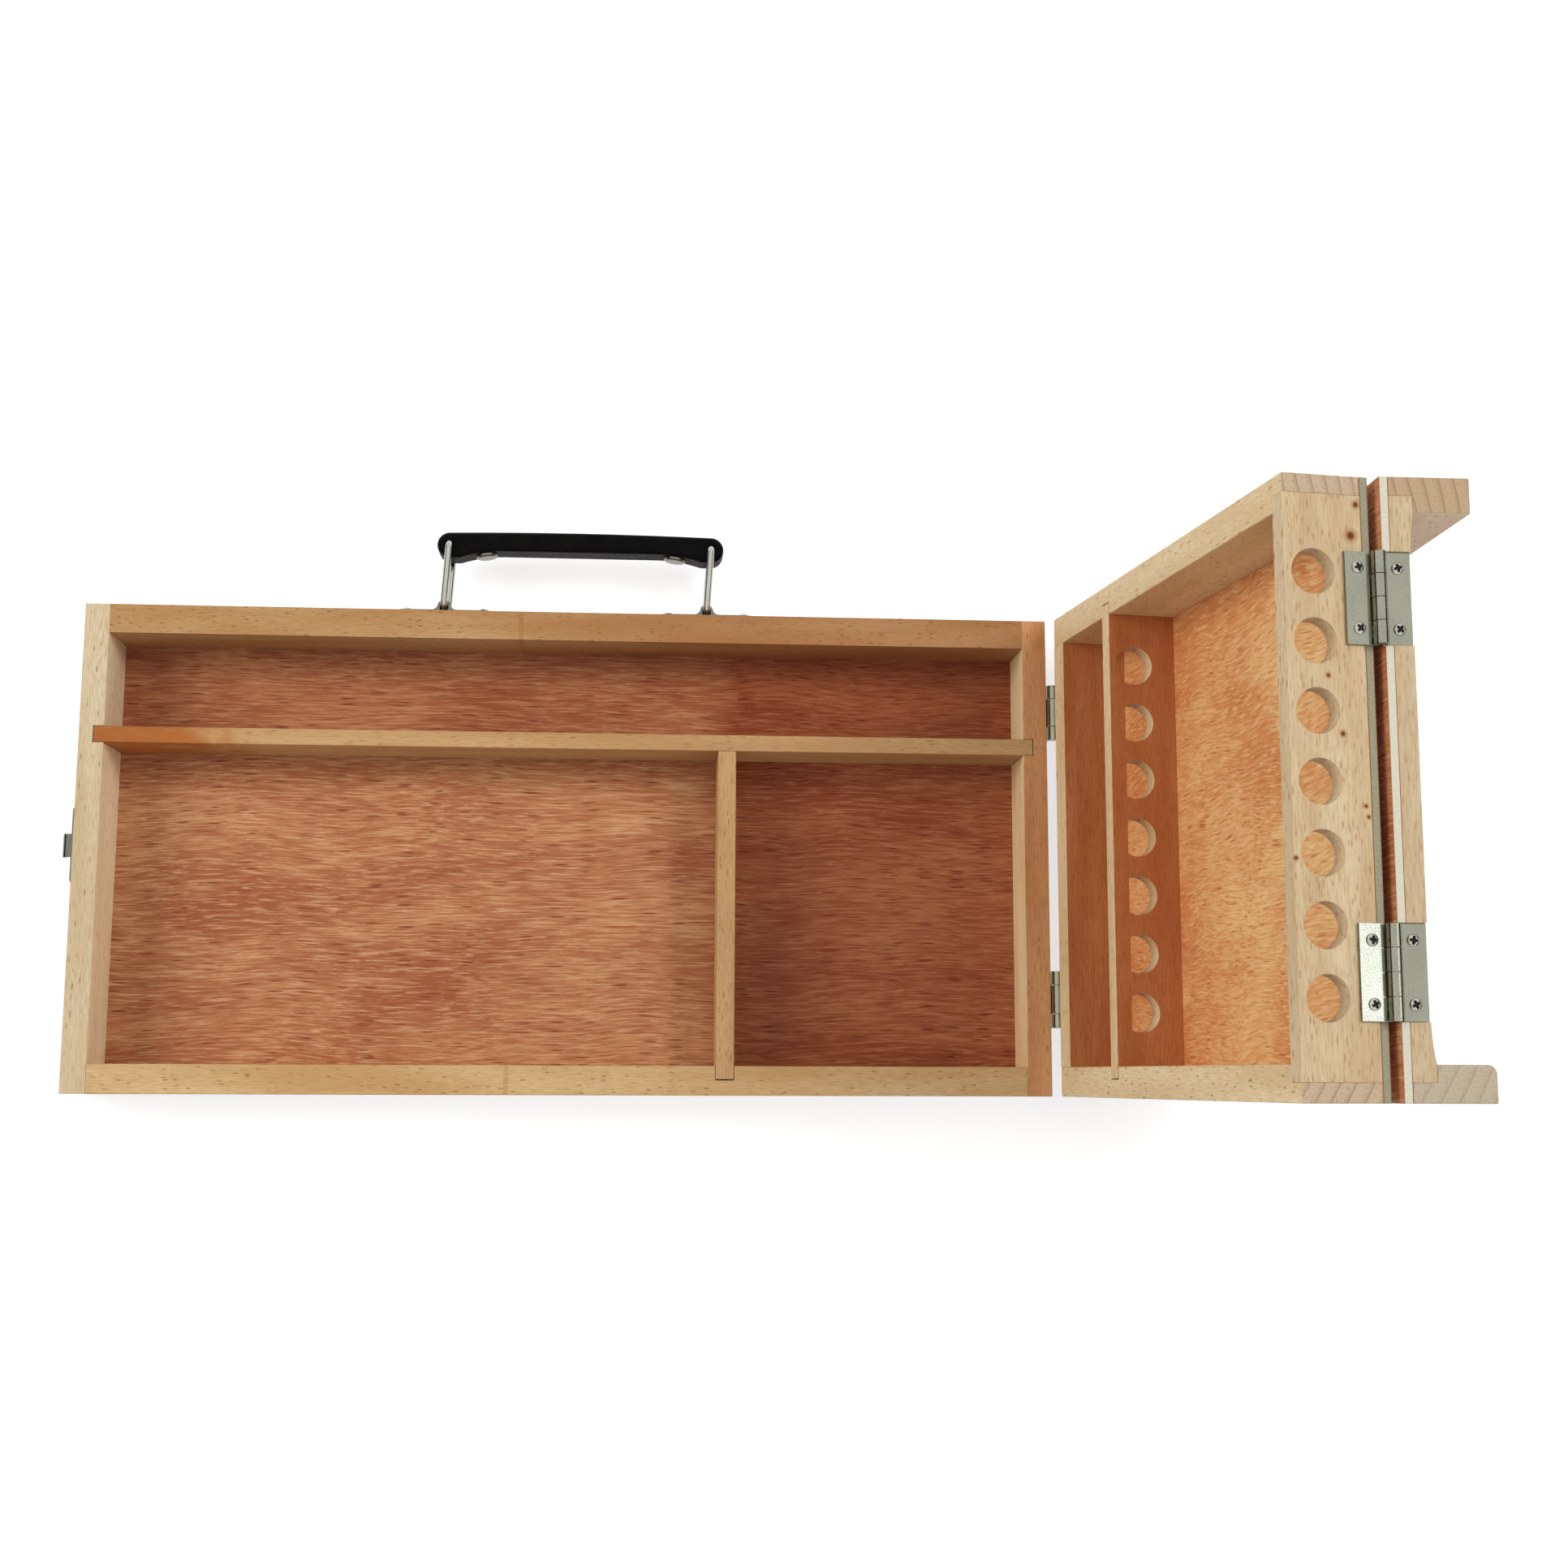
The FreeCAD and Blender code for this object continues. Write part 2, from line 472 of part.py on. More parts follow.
def hinge_leaf(label, placement, side, rise, length, width, knuckles, own, screws):
    """Leaf of a butt hinge about the origin: side is where its plate lies in X, rise in Z."""
    piece = Piece(label, placement)
    plate = (f"{side} * (sizes.leaf_set - sizes.leaf_thickness)", f"{side} * sizes.leaf_set")
    piece.pad(piece.rectangle("XZ", "0", plate, ("0", f"{rise} * {width}")), length, both=True)
    reach = "sizes.knuckle_radius + sizes.knuckle_clearance"
    square = (f"-({reach})", reach)
    for start, stop in (knuckles[index] for index in range(len(knuckles)) if index not in own):
        middle = f"{length} * {(start + stop) / 2 - 0.5}"
        start_face = f"{length} * {(stop - start) / 2} + sizes.knuckle_gap / 2 - ({middle})"
        notch = piece.rectangle("XZ", start_face, square, square)
        piece.pocket(notch, f"{length} * {stop - start} + sizes.knuckle_gap")
    for start, stop in (knuckles[index] for index in own):
        middle = f"{length} * {(start + stop) / 2 - 0.5}"
        round_bar = piece.circles("XZ", f"-({middle})", [("0", "0")], "sizes.knuckle_radius")
        piece.pad(round_bar, f"{length} * {stop - start} - sizes.knuckle_gap", both=True)
    piece.pocket(piece.circles("XZ", "0", [("0", "0")], "sizes.hinge_pin_radius + sizes.pin_play"))
    holes = [(f"{sign} * {screws}", f"{rise} * sizes.leaf_screw_row") for sign in (-1, 1)]
    piece.pocket(piece.circles("YZ", "0", holes, "sizes.screw_shank_radius + sizes.screw_play"))


def pin(label, placement, radius, length):
    """Plain pin along Y about the origin of its frame."""
    piece = Piece(label, placement)
    piece.pad(piece.circles("XZ", "0", [("0", "0")], radius), length, both=True)


def screws(label, placement, plane, height, centres, head, length, outward, domed=False):
    """Group of screws or rivets: heads on a surface and shanks into what lies behind it."""
    piece = Piece(label, placement, several=True)
    radius, tall, crown_size, shank = head
    piece.pad(piece.circles(plane, height, centres, radius), tall, back=outward < 0)
    crown = value(height) + outward * value(tall)
    normal = {"YZ": FreeCAD.Vector(1, 0, 0), "XZ": FreeCAD.Vector(0, -1, 0)}[plane]

    def crown_edge(edge):
        """Outer rim of a head."""
        return len(edge.Vertexes) == 1 and abs(edge.Vertexes[0].Point.dot(normal) - crown) < 0.001

    piece.ease("Fillet" if domed else "Chamfer", crown_size, crown_edge)
    piece.pad(piece.circles(plane, height, centres, shank), length, back=outward > 0)


SMALL_HEAD = (
    "sizes.screw_head_radius", "sizes.screw_head_height",
    "sizes.screw_head_bevel", "sizes.screw_shank_radius",
)
LARGE_HEAD = (
    "sizes.saddle_head_radius", "sizes.saddle_head_height",
    "sizes.saddle_head_bevel", "sizes.saddle_shank_radius",
)


def lid_hinges():
    """Two three-knuckle hinges between the main tray and the brush tray."""
    knuckles = ((0, 0.25), (0.25, 0.75), (0.75, 1))
    length, width, spread = "sizes.lid_hinge_length", "sizes.lid_leaf_width", "sizes.lid_screw_spread"
    for name, side in (("near", -1), ("far", 1)):
        place = f"{side} * places.lid_hinge_place"
        fixed = frame("places.lid_axis_x", place, "places.lid_axis_z")
        hinge_leaf(f"lid_hinge_{name}_main_leaf", fixed, -1, -1, length, width, knuckles, (0, 2), spread)
        moving = f"{LID} * {frame(0, place, 0)}"
        hinge_leaf(f"lid_hinge_{name}_lid_leaf", moving, -1, 1, length, width, knuckles, (1,), spread)
        pin(f"lid_hinge_{name}_pin", fixed, "sizes.hinge_pin_radius", length)
    main_holes = [(place, "places.lid_axis_z - sizes.leaf_screw_row") for place in LID_SCREWS]
    face = "places.half_length + sizes.leaf_thickness"
    screws("lid_hinge_main_screws", None, "YZ", face, main_holes, SMALL_HEAD, "sizes.screw_length", 1)
    lid_holes = [(place, "sizes.leaf_screw_row") for place in LID_SCREWS]
    face = "places.brush_start + sizes.leaf_thickness"
    screws("lid_hinge_lid_screws", LID, "YZ", face, lid_holes, SMALL_HEAD, "sizes.screw_length", 1)


def cover_hinges():
    """Two four-knuckle hinges between the brush tray and the cover tray."""
    knuckles = ((0, 0.25), (0.25, 0.5), (0.5, 0.75), (0.75, 1))
    length, width, spread = "sizes.cover_hinge_length", "sizes.cover_leaf_width", "sizes.cover_screw_spread"
    for name, side in (("near", -1), ("far", 1)):
        place = f"{side} * places.cover_hinge_place"
        fixed = f"{LID} * {frame('places.cover_axis_x', place, 'places.cover_axis_z')}"
        hinge_leaf(f"cover_hinge_{name}_brush_leaf", fixed, 1, -1, length, width, knuckles, (0, 2), spread)
        moving = f"{COVER} * {frame(0, place, 0)}"
        hinge_leaf(f"cover_hinge_{name}_cover_leaf", moving, -1, -1, length, width, knuckles, (1, 3), spread)
        pin(f"cover_hinge_{name}_pin", fixed, "sizes.hinge_pin_radius", length)
    brush_holes = [(place, "places.cover_axis_z - sizes.leaf_screw_row") for place in COVER_SCREWS]
    face = "places.brush_end - sizes.leaf_thickness"
    screws("cover_hinge_brush_screws", LID, "YZ", face, brush_holes, SMALL_HEAD, "sizes.screw_length", -1)
    cover_holes = [(place, "-sizes.leaf_screw_row") for place in COVER_SCREWS]
    face = "-sizes.leaf_set + sizes.leaf_thickness"
    screws("cover_hinge_cover_screws", COVER, "YZ", face, cover_holes, SMALL_HEAD, "sizes.screw_length", 1)


def ring(reach, half_width, bend):
    """Closed rectangle with rounded corners, from the line x = 0 to x = reach."""
    near, far = (bend, f"{reach} - {bend}")
    straight = f"({half_width} - {bend})"
    return [
        ("0", f"-{straight}"), ("0", straight, bend, -1), (near, half_width), (far, half_width, bend, -1),
        (reach, straight), (reach, f"-{straight}", bend, -1),
        (far, f"-{half_width}"), (near, f"-{half_width}", bend, -1),
    ]


def saddle(label, placement):
    """Screwed plate bridging the lower bar of a bail."""
    sheet, bar, flare = "sizes.saddle_thickness", "sizes.bail_bar_height", "sizes.saddle_flare"
    half, hole, bump = "(sizes.saddle_length / 2)", "places.bail_hole", "places.saddle_bump"
    piece = Piece(label, placement)
    profile = [
        (f"-{half}", "0"), (f"-{hole}", "0"), (f"-{hole}", bar, hole, -1), ("0", f"{bar} + {hole}", hole, -1),
        (hole, bar), (hole, "0"), (half, "0"),
        (half, sheet), ("places.flare_x", sheet, flare, -1), ("places.blend_x", "places.blend_y", bump, 1),
        ("-places.blend_x", "places.blend_y", flare, -1), ("-places.flare_x", sheet), (f"-{half}", sheet),
    ]
    piece.pad(piece.outline("XY", "0", profile), "sizes.saddle_width", both=True)
    length, width = value(half), value("sizes.saddle_width / 2")

    def corner(edge):
        """Short edge at a corner of the plate."""
        middle = edge.BoundBox.Center
        return abs(abs(middle.x) - length) < 0.01 and abs(abs(middle.z) - width) < 0.01

    piece.fillet("sizes.saddle_corner", corner)
    holes = [(f"{sign} * sizes.saddle_screw_spread", "0") for sign in (-1, 1)]
    piece.pocket(piece.circles("XZ", "0", holes, "sizes.saddle_shank_radius + sizes.screw_play"))


def handle():
    """Leather grip on two wire bails, each held to the far wall by a bridged saddle plate."""
    grip_frame = frame("places.grip_x", "places.grip_y", "places.handle_z")
    rings = ring("sizes.bail_length", "places.bail_half_width", "sizes.bail_bend_radius")
    for name, side in (("left", -1), ("right", 1)):
        x = f"sizes.handle_offset + {side} * places.bail_half"
        saddle(f"handle_saddle_{name}", frame(x, "places.half_width", "places.handle_z"))
        turned = frame(x, "places.handle_y", "places.handle_z", (0, 0, -1), "sizes.bail_lean")
        bail = Piece(f"handle_bail_{name}", turned)
        bail.wire("YZ", "0", rings, "XY", rings[0][1], ("0", "0"), "sizes.bail_wire_radius")
    holes = [(place, "places.handle_z") for place in SADDLE_SCREWS]
    face = "-places.half_width - sizes.saddle_thickness"
    screws("handle_saddle_screws", None, "XZ", face, holes, LARGE_HEAD, "sizes.saddle_screw_length", -1)

    end, roll, arch = "places.bail_half", "sizes.grip_roll_radius", "-sizes.grip_arch"
    ramp, crown = "places.ramp_radius", "places.crown_radius"
    profile = [
        (f"-{end}", f"-{roll}", roll, -1), (f"-{end} - {roll}", "0", roll, -1),
        ("-places.crown_end_x", "places.crown_end_y", crown, -1),
        ("places.crown_end_x", "places.crown_end_y", roll, -1), (f"{end} + {roll}", "0", roll, -1),
        (end, f"-{roll}"), ("places.ramp_end", f"-{roll}", ramp, 1),
        ("places.ramp_start", arch), ("-places.ramp_start", arch, ramp, 1), ("-places.ramp_end", f"-{roll}"),
    ]
    grip = Piece("handle_grip", grip_frame)
    grip.pad(grip.outline("XY", "0", profile), "places.grip_width", both=True)
    half = value("places.grip_width / 2")
    grip.fillet("sizes.grip_edge", lambda edge: abs(abs(edge.BoundBox.Center.z) - half) < 0.01)
    grip.pocket(grip.circles("XY", "0", [(f"-{end}", "0"), (end, "0")], "places.bail_hole"))
    for name, side in (("left", 1), ("right", -1)):
        tilt = f"{side} * places.rivet_tilt"
        seat = frame(0, 0, "sizes.rivet_seat")
        surface = frame(f"{-side} * places.rivet_x", 0, "-places.rivet_y", (0, 1, 0), tilt)
        bore_radius = "sizes.rivet_shank_radius + sizes.pilot_play"
        bore = grip.circles("XZ", f"{surface} * {seat}", [("0", "0")], bore_radius)
        grip.pocket(bore, "sizes.rivet_seat + sizes.rivet_depth + sizes.pilot_play")
        spot = frame(f"{-side} * places.rivet_x", "places.rivet_y", 0, (0, 0, 1), tilt)
        head = ("sizes.rivet_radius", "sizes.rivet_height", "sizes.rivet_round", "sizes.rivet_shank_radius")
        depth = "sizes.rivet_seat + sizes.rivet_depth"
        place, face = f"{grip_frame} * {spot}", "sizes.rivet_seat"
        screws(f"grip_rivet_{name}", place, "XZ", face, [("0", "0")], head, depth, 1, domed=True)


def latch_plate(label, placement, up):
    """Flat screwed plate of the latch, rounded at the corners."""
    piece = Piece(label, placement)
    piece.pad(piece.rectangle("XZ", "0", ("-sizes.latch_sheet", "0"), up), "sizes.latch_width", both=True)
    corners = [(value("sizes.latch_width / 2"), value(limit)) for limit in up]

    def corner(edge):
        """Short edge at a corner of the plate."""
        middle = edge.BoundBox.Center
        return any(abs(abs(middle.y) - y) < 0.01 and abs(middle.z - z) < 0.01 for y, z in corners)

    piece.fillet("sizes.latch_corner", corner)
    return piece


def latch():
    """Toggle latch on the cover, left hanging open, and its hooked keeper on the main tray."""
    sheet = "sizes.latch_sheet"
    hole = "sizes.screw_shank_radius + sizes.screw_play"

    keeper = latch_plate("latch_keeper", frame("-places.half_length", 0, "places.rim"),
                         ("-sizes.keeper_top - sizes.keeper_height", "-sizes.keeper_top"))
    inner, outer = "places.hook_inner", "places.hook_outer"
    bar, depth = "-places.loop_out", "-sizes.hook_depth"
    lip = f"{depth} - sizes.hook_lip"
    profile = [
        (f"-{sheet} / 2", f"{depth} + {outer}"), (bar, f"{depth} + {outer}", outer, 1),
        (f"{bar} - {outer}", depth), (f"{bar} - {outer}", lip), (f"{bar} - {inner}", lip),
        (f"{bar} - {inner}", depth, inner, -1),
        (bar, f"{depth} + {inner}"), (f"-{sheet} / 2", f"{depth} + {inner}"),
    ]
    keeper.pad(keeper.outline("XZ", "0", profile), "sizes.hook_width", both=True)
    hook_holes = [(place, "-sizes.keeper_screw_depth") for place in LATCH_SCREWS]
    keeper.pocket(keeper.circles("YZ", "0", hook_holes, hole))
    keeper_holes = [(place, "places.rim - sizes.keeper_screw_depth") for place in LATCH_SCREWS]
    face = f"-places.half_length - {sheet}"
    screws("latch_keeper_screws", None, "YZ", face, keeper_holes, SMALL_HEAD, "sizes.screw_length", -1)

    latch_frame = f"{COVER} * {frame('places.cover_end', 0, 'places.cover_rim')}"
    plate = latch_plate("latch_plate", latch_frame,
                        ("sizes.latch_plate_low", "sizes.latch_plate_low + sizes.latch_plate_height"))
    eye, pivot, out = "sizes.lever_eye_radius", "sizes.lever_pivot_height", "sizes.lever_pivot_out"
    ear = [
        (f"-{sheet} / 2", f"{pivot} - {eye}"), (f"-{out}", f"{pivot} - {eye}", eye, -1),
        (f"-{out} - {eye}", pivot, eye, -1), (f"-{out}", f"{pivot} + {eye}"),
        (f"-{sheet} / 2", f"{pivot} + {eye}"),
    ]
    for side in (-1, 1):
        plate.pad(plate.outline("XZ", f"{side} * sizes.ear_place", ear), "sizes.ear_sheet", both=True)
    pin_hole = "sizes.lever_pin_radius + sizes.pin_play"
    plate.pocket(plate.circles("XZ", "0", [(f"-{out}", pivot)], pin_hole))
    plate_holes = [(place, "sizes.latch_screw_height") for place in LATCH_SCREWS]
    plate.pocket(plate.circles("YZ", "0", plate_holes, hole))
    face, depth = f"-{sheet}", "sizes.screw_length"
    screws("latch_plate_screws", latch_frame, "YZ", face, plate_holes, SMALL_HEAD, depth, -1)
    pin_frame = f"{latch_frame} * {frame(f'-{out}', 0, pivot)}"
    pin("latch_lever_pin", pin_frame, "sizes.lever_pin_radius", "sizes.lever_width")

    lever_frame = f"{latch_frame} * {frame(f'-{out}', 0, pivot, (0, -1, 0), 'sizes.lever_hang')}"
    thick, rise, heel = "sizes.lever_sheet", "sizes.lever_rise", "sizes.lever_heel"
    straight, length = "sizes.lever_straight", "sizes.lever_length"
    tip, bend = "sizes.lever_tip", "places.lever_bend"
    top = [
        (f"-{rise}", f"-{heel}"), (f"-{rise}", straight), (f"-{rise} - {tip}", length),
        (f"-{rise} - {tip} - {thick} * cos({bend})", f"{length} - {thick} * sin({bend})"),
        (f"-{rise} - {thick}", f"{straight} - {thick} * tan({bend} / 2)"), (f"-{rise} - {thick}", f"-{heel}"),
    ]
    throw, over = "sizes.lever_throw", "sizes.lever_overcentre"
    cheek = [
        (f"-{rise} - {thick} / 2", f"-{heel}"), ("0", f"-{eye}", eye, 1), (eye, "0"),
        (f"{over} + {eye}", throw, eye, 1), (over, f"{throw} + {eye}"),
        (f"-{rise} - {thick} / 2", f"{straight} - {thick}"),
    ]
    lever = Piece("latch_lever", lever_frame)
    lever.pad(lever.outline("XZ", "0", top), "sizes.lever_width", both=True)
    for side in (-1, 1):
        lever.pad(lever.outline("XZ", f"{side} * (sizes.lever_width - {thick}) / 2", cheek), thick, both=True)
    lever.pocket(lever.circles("XZ", "0", [("0", "0")], pin_hole))
    lever.pocket(lever.circles("XZ", "0", [(over, throw)], "sizes.loop_wire_radius + sizes.loop_pivot_play"))

    swung = frame(over, 0, throw, (0, -1, 0), "-sizes.loop_swing * sizes.lever_hang")
    loop = Piece("latch_loop", f"{lever_frame} * {swung}")
    bent = ring("places.loop_length", "sizes.loop_width / 2", "sizes.loop_bend_radius")
    turned = [(point[1], f"-({point[0]})", *point[2:]) for point in bent]
    loop.wire("YZ", "0", turned, "XZ", f"-({bent[0][1]})", ("0", "0"), "sizes.loop_wire_radius")


def check():
    """Stop if any object failed or any sub-part has no sound solid."""
    for item in DOC.Objects:
        if {"Invalid", "Error"} & set(item.State):
            raise RuntimeError(f"{item.Label} failed: {item.State}")
    for body in PIECES:
        if body.Shape.isNull() or not body.Shape.isValid() or not body.Shape.Solids:
            raise RuntimeError(f"{body.Label} has no sound solid")


def export():
    """Write each sub-part to its own file."""
    os.makedirs("parts", exist_ok=True)
    for body in PIECES:
        body.Shape.exportStep(f"parts/{body.Label}.step")
        print(f"{body.Label}: {len(body.Shape.Solids)} solids, {body.Shape.Volume:.1f} mm3")


main_tray()
brush_tray()
cover_tray()
lid_hinges()
cover_hinges()
handle()
latch()
DOC.recompute()
check()
export()
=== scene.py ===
"""Looks of an art supply box: a main tray with a brush tray and a cover tray hinged to it.

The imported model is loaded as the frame. Each board, panel, fitting and strap then gets a finer piece
or a finish of its own, and a studio with a pale floor is set round them. Lengths are in metres, and
names that end in _mm are in millimetres.
"""

import json
import logging
import math
from dataclasses import dataclass, field
from enum import Enum
from typing import Union

import bmesh
import bpy
from mathutils import Matrix, Vector

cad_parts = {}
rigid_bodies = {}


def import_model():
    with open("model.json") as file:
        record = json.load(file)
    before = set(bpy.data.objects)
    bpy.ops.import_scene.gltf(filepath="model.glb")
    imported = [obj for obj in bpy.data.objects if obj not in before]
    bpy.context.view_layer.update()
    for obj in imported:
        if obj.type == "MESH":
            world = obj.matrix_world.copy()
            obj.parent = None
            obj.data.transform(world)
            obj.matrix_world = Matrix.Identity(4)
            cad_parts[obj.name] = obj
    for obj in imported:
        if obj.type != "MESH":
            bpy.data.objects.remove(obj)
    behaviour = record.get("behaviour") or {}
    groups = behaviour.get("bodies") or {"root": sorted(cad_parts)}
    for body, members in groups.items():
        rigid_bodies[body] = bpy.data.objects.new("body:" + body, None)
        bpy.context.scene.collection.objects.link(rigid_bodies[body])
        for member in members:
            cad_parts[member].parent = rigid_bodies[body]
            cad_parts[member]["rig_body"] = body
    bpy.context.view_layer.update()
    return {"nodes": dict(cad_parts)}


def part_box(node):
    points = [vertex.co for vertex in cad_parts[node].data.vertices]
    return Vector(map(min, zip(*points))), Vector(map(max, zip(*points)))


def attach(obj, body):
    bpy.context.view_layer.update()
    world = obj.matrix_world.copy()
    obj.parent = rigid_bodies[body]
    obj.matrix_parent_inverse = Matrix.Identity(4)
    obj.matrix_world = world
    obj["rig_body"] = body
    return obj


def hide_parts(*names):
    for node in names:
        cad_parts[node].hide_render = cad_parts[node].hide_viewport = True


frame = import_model()

MM = 0.001
LOG = logging.getLogger("art_supply_box")
Colour = tuple[float, float, float, float]
Pair = tuple[float, float]
Triple = tuple[float, float, float]
Material = bpy.types.Material
Mesh = bmesh.types.BMesh
Nodes = bpy.types.NodeTree
Piece = bpy.types.Object
Socket = bpy.types.NodeSocket
NodeInput = Union[Socket, float, Triple, Colour]
LAID = {"vector_type": "TEXTURE"}
RGBA = {"data_type": "RGBA"}

WELD_MM = 0.001
FLAT_DEGREES = 0.4
SHARP_DEGREES = 32.0
CREASE_DEGREES = 50.0
EDGE_SEGMENTS = 2
ALIGNED = 0.9
HEAD_TURN_DEGREES = 24.0
HEAD_STEP_DEGREES = 57.0


class Tray(Enum):
    """A tray and how far its frame is turned about Y, in degrees, as the box lies open."""

    MAIN = ("main_tray", 0.0)
    BRUSH = ("brush_tray", 98.0)
    COVER = ("cover_tray", 270.0)

    @property
    def body(self) -> str:
        """Name of the tray's body."""
        return self.value[0]

    @property
    def turn(self) -> Matrix:
        """Turn from the tray's own frame to the row frame."""
        return Matrix.Rotation(math.radians(self.value[1]), 3, "Y")


class Way(Enum):
    """The way a board's fibres run in its tray: with the box's length or across it."""

    LENGTH = (1.0, 0.0, 0.0)
    WIDTH = (0.0, 1.0, 0.0)


def linear(code: str) -> Colour:
    """Turn an sRGB hex colour into linear light.

    Args:
        code: The colour as #RRGGBB.

    Returns:
        Red, green, blue and a full alpha.
    """
    parts = [int(code[i : i + 2], 16) / 255 for i in (1, 3, 5)]
    red, green, blue = [p / 12.92 if p <= 0.04045 else ((p + 0.055) / 1.055) ** 2.4 for p in parts]
    return red, green, blue, 1.0


def feed(tree: Nodes, node: bpy.types.Node, inputs: dict[Union[str, int], NodeInput]) -> None:
    """Link or set inputs of a node.

    Args:
        tree: The material's or the world's nodes.
        node: The node.
        inputs: What each input gets, by name or place: a socket to link, or a value.
    """
    for key, value in inputs.items():
        if isinstance(value, Socket):
            tree.links.new(value, node.inputs[key])
        else:
            node.inputs[key].default_value = value


def add(
    tree: Nodes, kind: str, inputs: dict[Union[str, int], NodeInput], **settings: object
) -> bpy.types.NodeOutputs:
    """Add a node with its settings and links.

    A Mix node of colours has its factor at 0, its colours at 6 and 7, and its result at 2.

    Args:
        tree: The material's or the world's nodes.
        kind: The node's type name, without ShaderNode before it.
        inputs: What each input gets.
        settings: The node's own settings.

    Returns:
        The new node's outputs.
    """
    node = tree.nodes.new(f"ShaderNode{kind}")
    for key, setting in settings.items():
        setattr(node, key, setting)
    feed(tree, node, inputs)
    return node.outputs


@dataclass(frozen=True)
class Grain:
    """How the figure lies in one board: its fibres' way, its tray, and the place it was cut from."""

    way: Way
    tray: Tray
    cut_mm: Triple = (0.0, 0.0, 0.0)

    @property
    def fibres(self) -> Vector:
        """Direction of the fibres in the row frame."""
        return self.tray.turn @ Vector(self.way.value)

    def laid(self, place: Socket, along_mm: float, across_mm: float) -> dict[str, NodeInput]:
        """Inputs of a Mapping node that measures a pattern in its own feature sizes.

        Args:
            place: Object coordinates.
            along_mm: Size of a feature along the fibres.
            across_mm: Size of a feature across them.

        Returns:
            The node's inputs.
        """
        sizes = [along_mm * MM if part else across_mm * MM for part in self.way.value]
        return {
            "Vector": place,
            "Location": tuple(self.tray.turn @ (Vector(self.cut_mm) * MM)),
            "Rotation": (0.0, math.radians(self.tray.value[1]), 0.0),
            "Scale": tuple(sizes),
        }


def new_material(name: str) -> tuple[Material, Nodes, bpy.types.Node, Socket]:
    """Start a material.

    Args:
        name: Its name.

    Returns:
        The material, its nodes, its shader and its Object coordinates.
    """
    material = bpy.data.materials.new(name)
    material.use_nodes = True
    tree = material.node_tree
    place = add(tree, "TexCoord", {})["Object"]
    return material, tree, tree.nodes["Principled BSDF"], place


@dataclass(frozen=True)
class Tint:
    """A change of tone along one axis of the row frame. Some tints draw real changes of tone in the wood;
    others paint the shade that one part of the box casts on another.
    """

    axis: int
    none_mm: float
    full_mm: float
    shade: str
    blotch_mm: float = 0.0
    blotches: float = 6.0

    def over(self, tree: Nodes, place: Socket, colour: Socket) -> Socket:
        """Multiply a colour by the shade, from none of it to all of it.

        Args:
            tree: The material's nodes.
            place: Object coordinates.
            colour: The colour so far.

        Returns:
            The tinted colour.
        """
        along = add(tree, "SeparateXYZ", {0: place})[self.axis]
        if self.blotch_mm:
            noise = {"Vector": place, "Scale": self.blotches / (self.blotch_mm * MM), "Detail": 4.0}
            cloud = add(tree, "TexNoise", noise)[0]
            ragged = {0: cloud, 1: self.blotch_mm * MM, 2: along}
            along = add(tree, "Math", ragged, operation="MULTIPLY_ADD")[0]
        ramp = {"Value": along, "From Min": self.none_mm * MM, "From Max": self.full_mm * MM}
        colours = {0: add(tree, "MapRange", ramp)[0], 6: colour, 7: linear(self.shade)}
        return add(tree, "Mix", colours, **RGBA, blend_type="MULTIPLY")[2]


@dataclass(frozen=True)
class Knot:
    """A pin knot in a board: a small dark spot with a paler halo."""

    spot_mm: Triple
    radius_mm: float
    core: str = "#5E2F1C"
    halo: str = "#A8703F"
    spread: float = 1.9


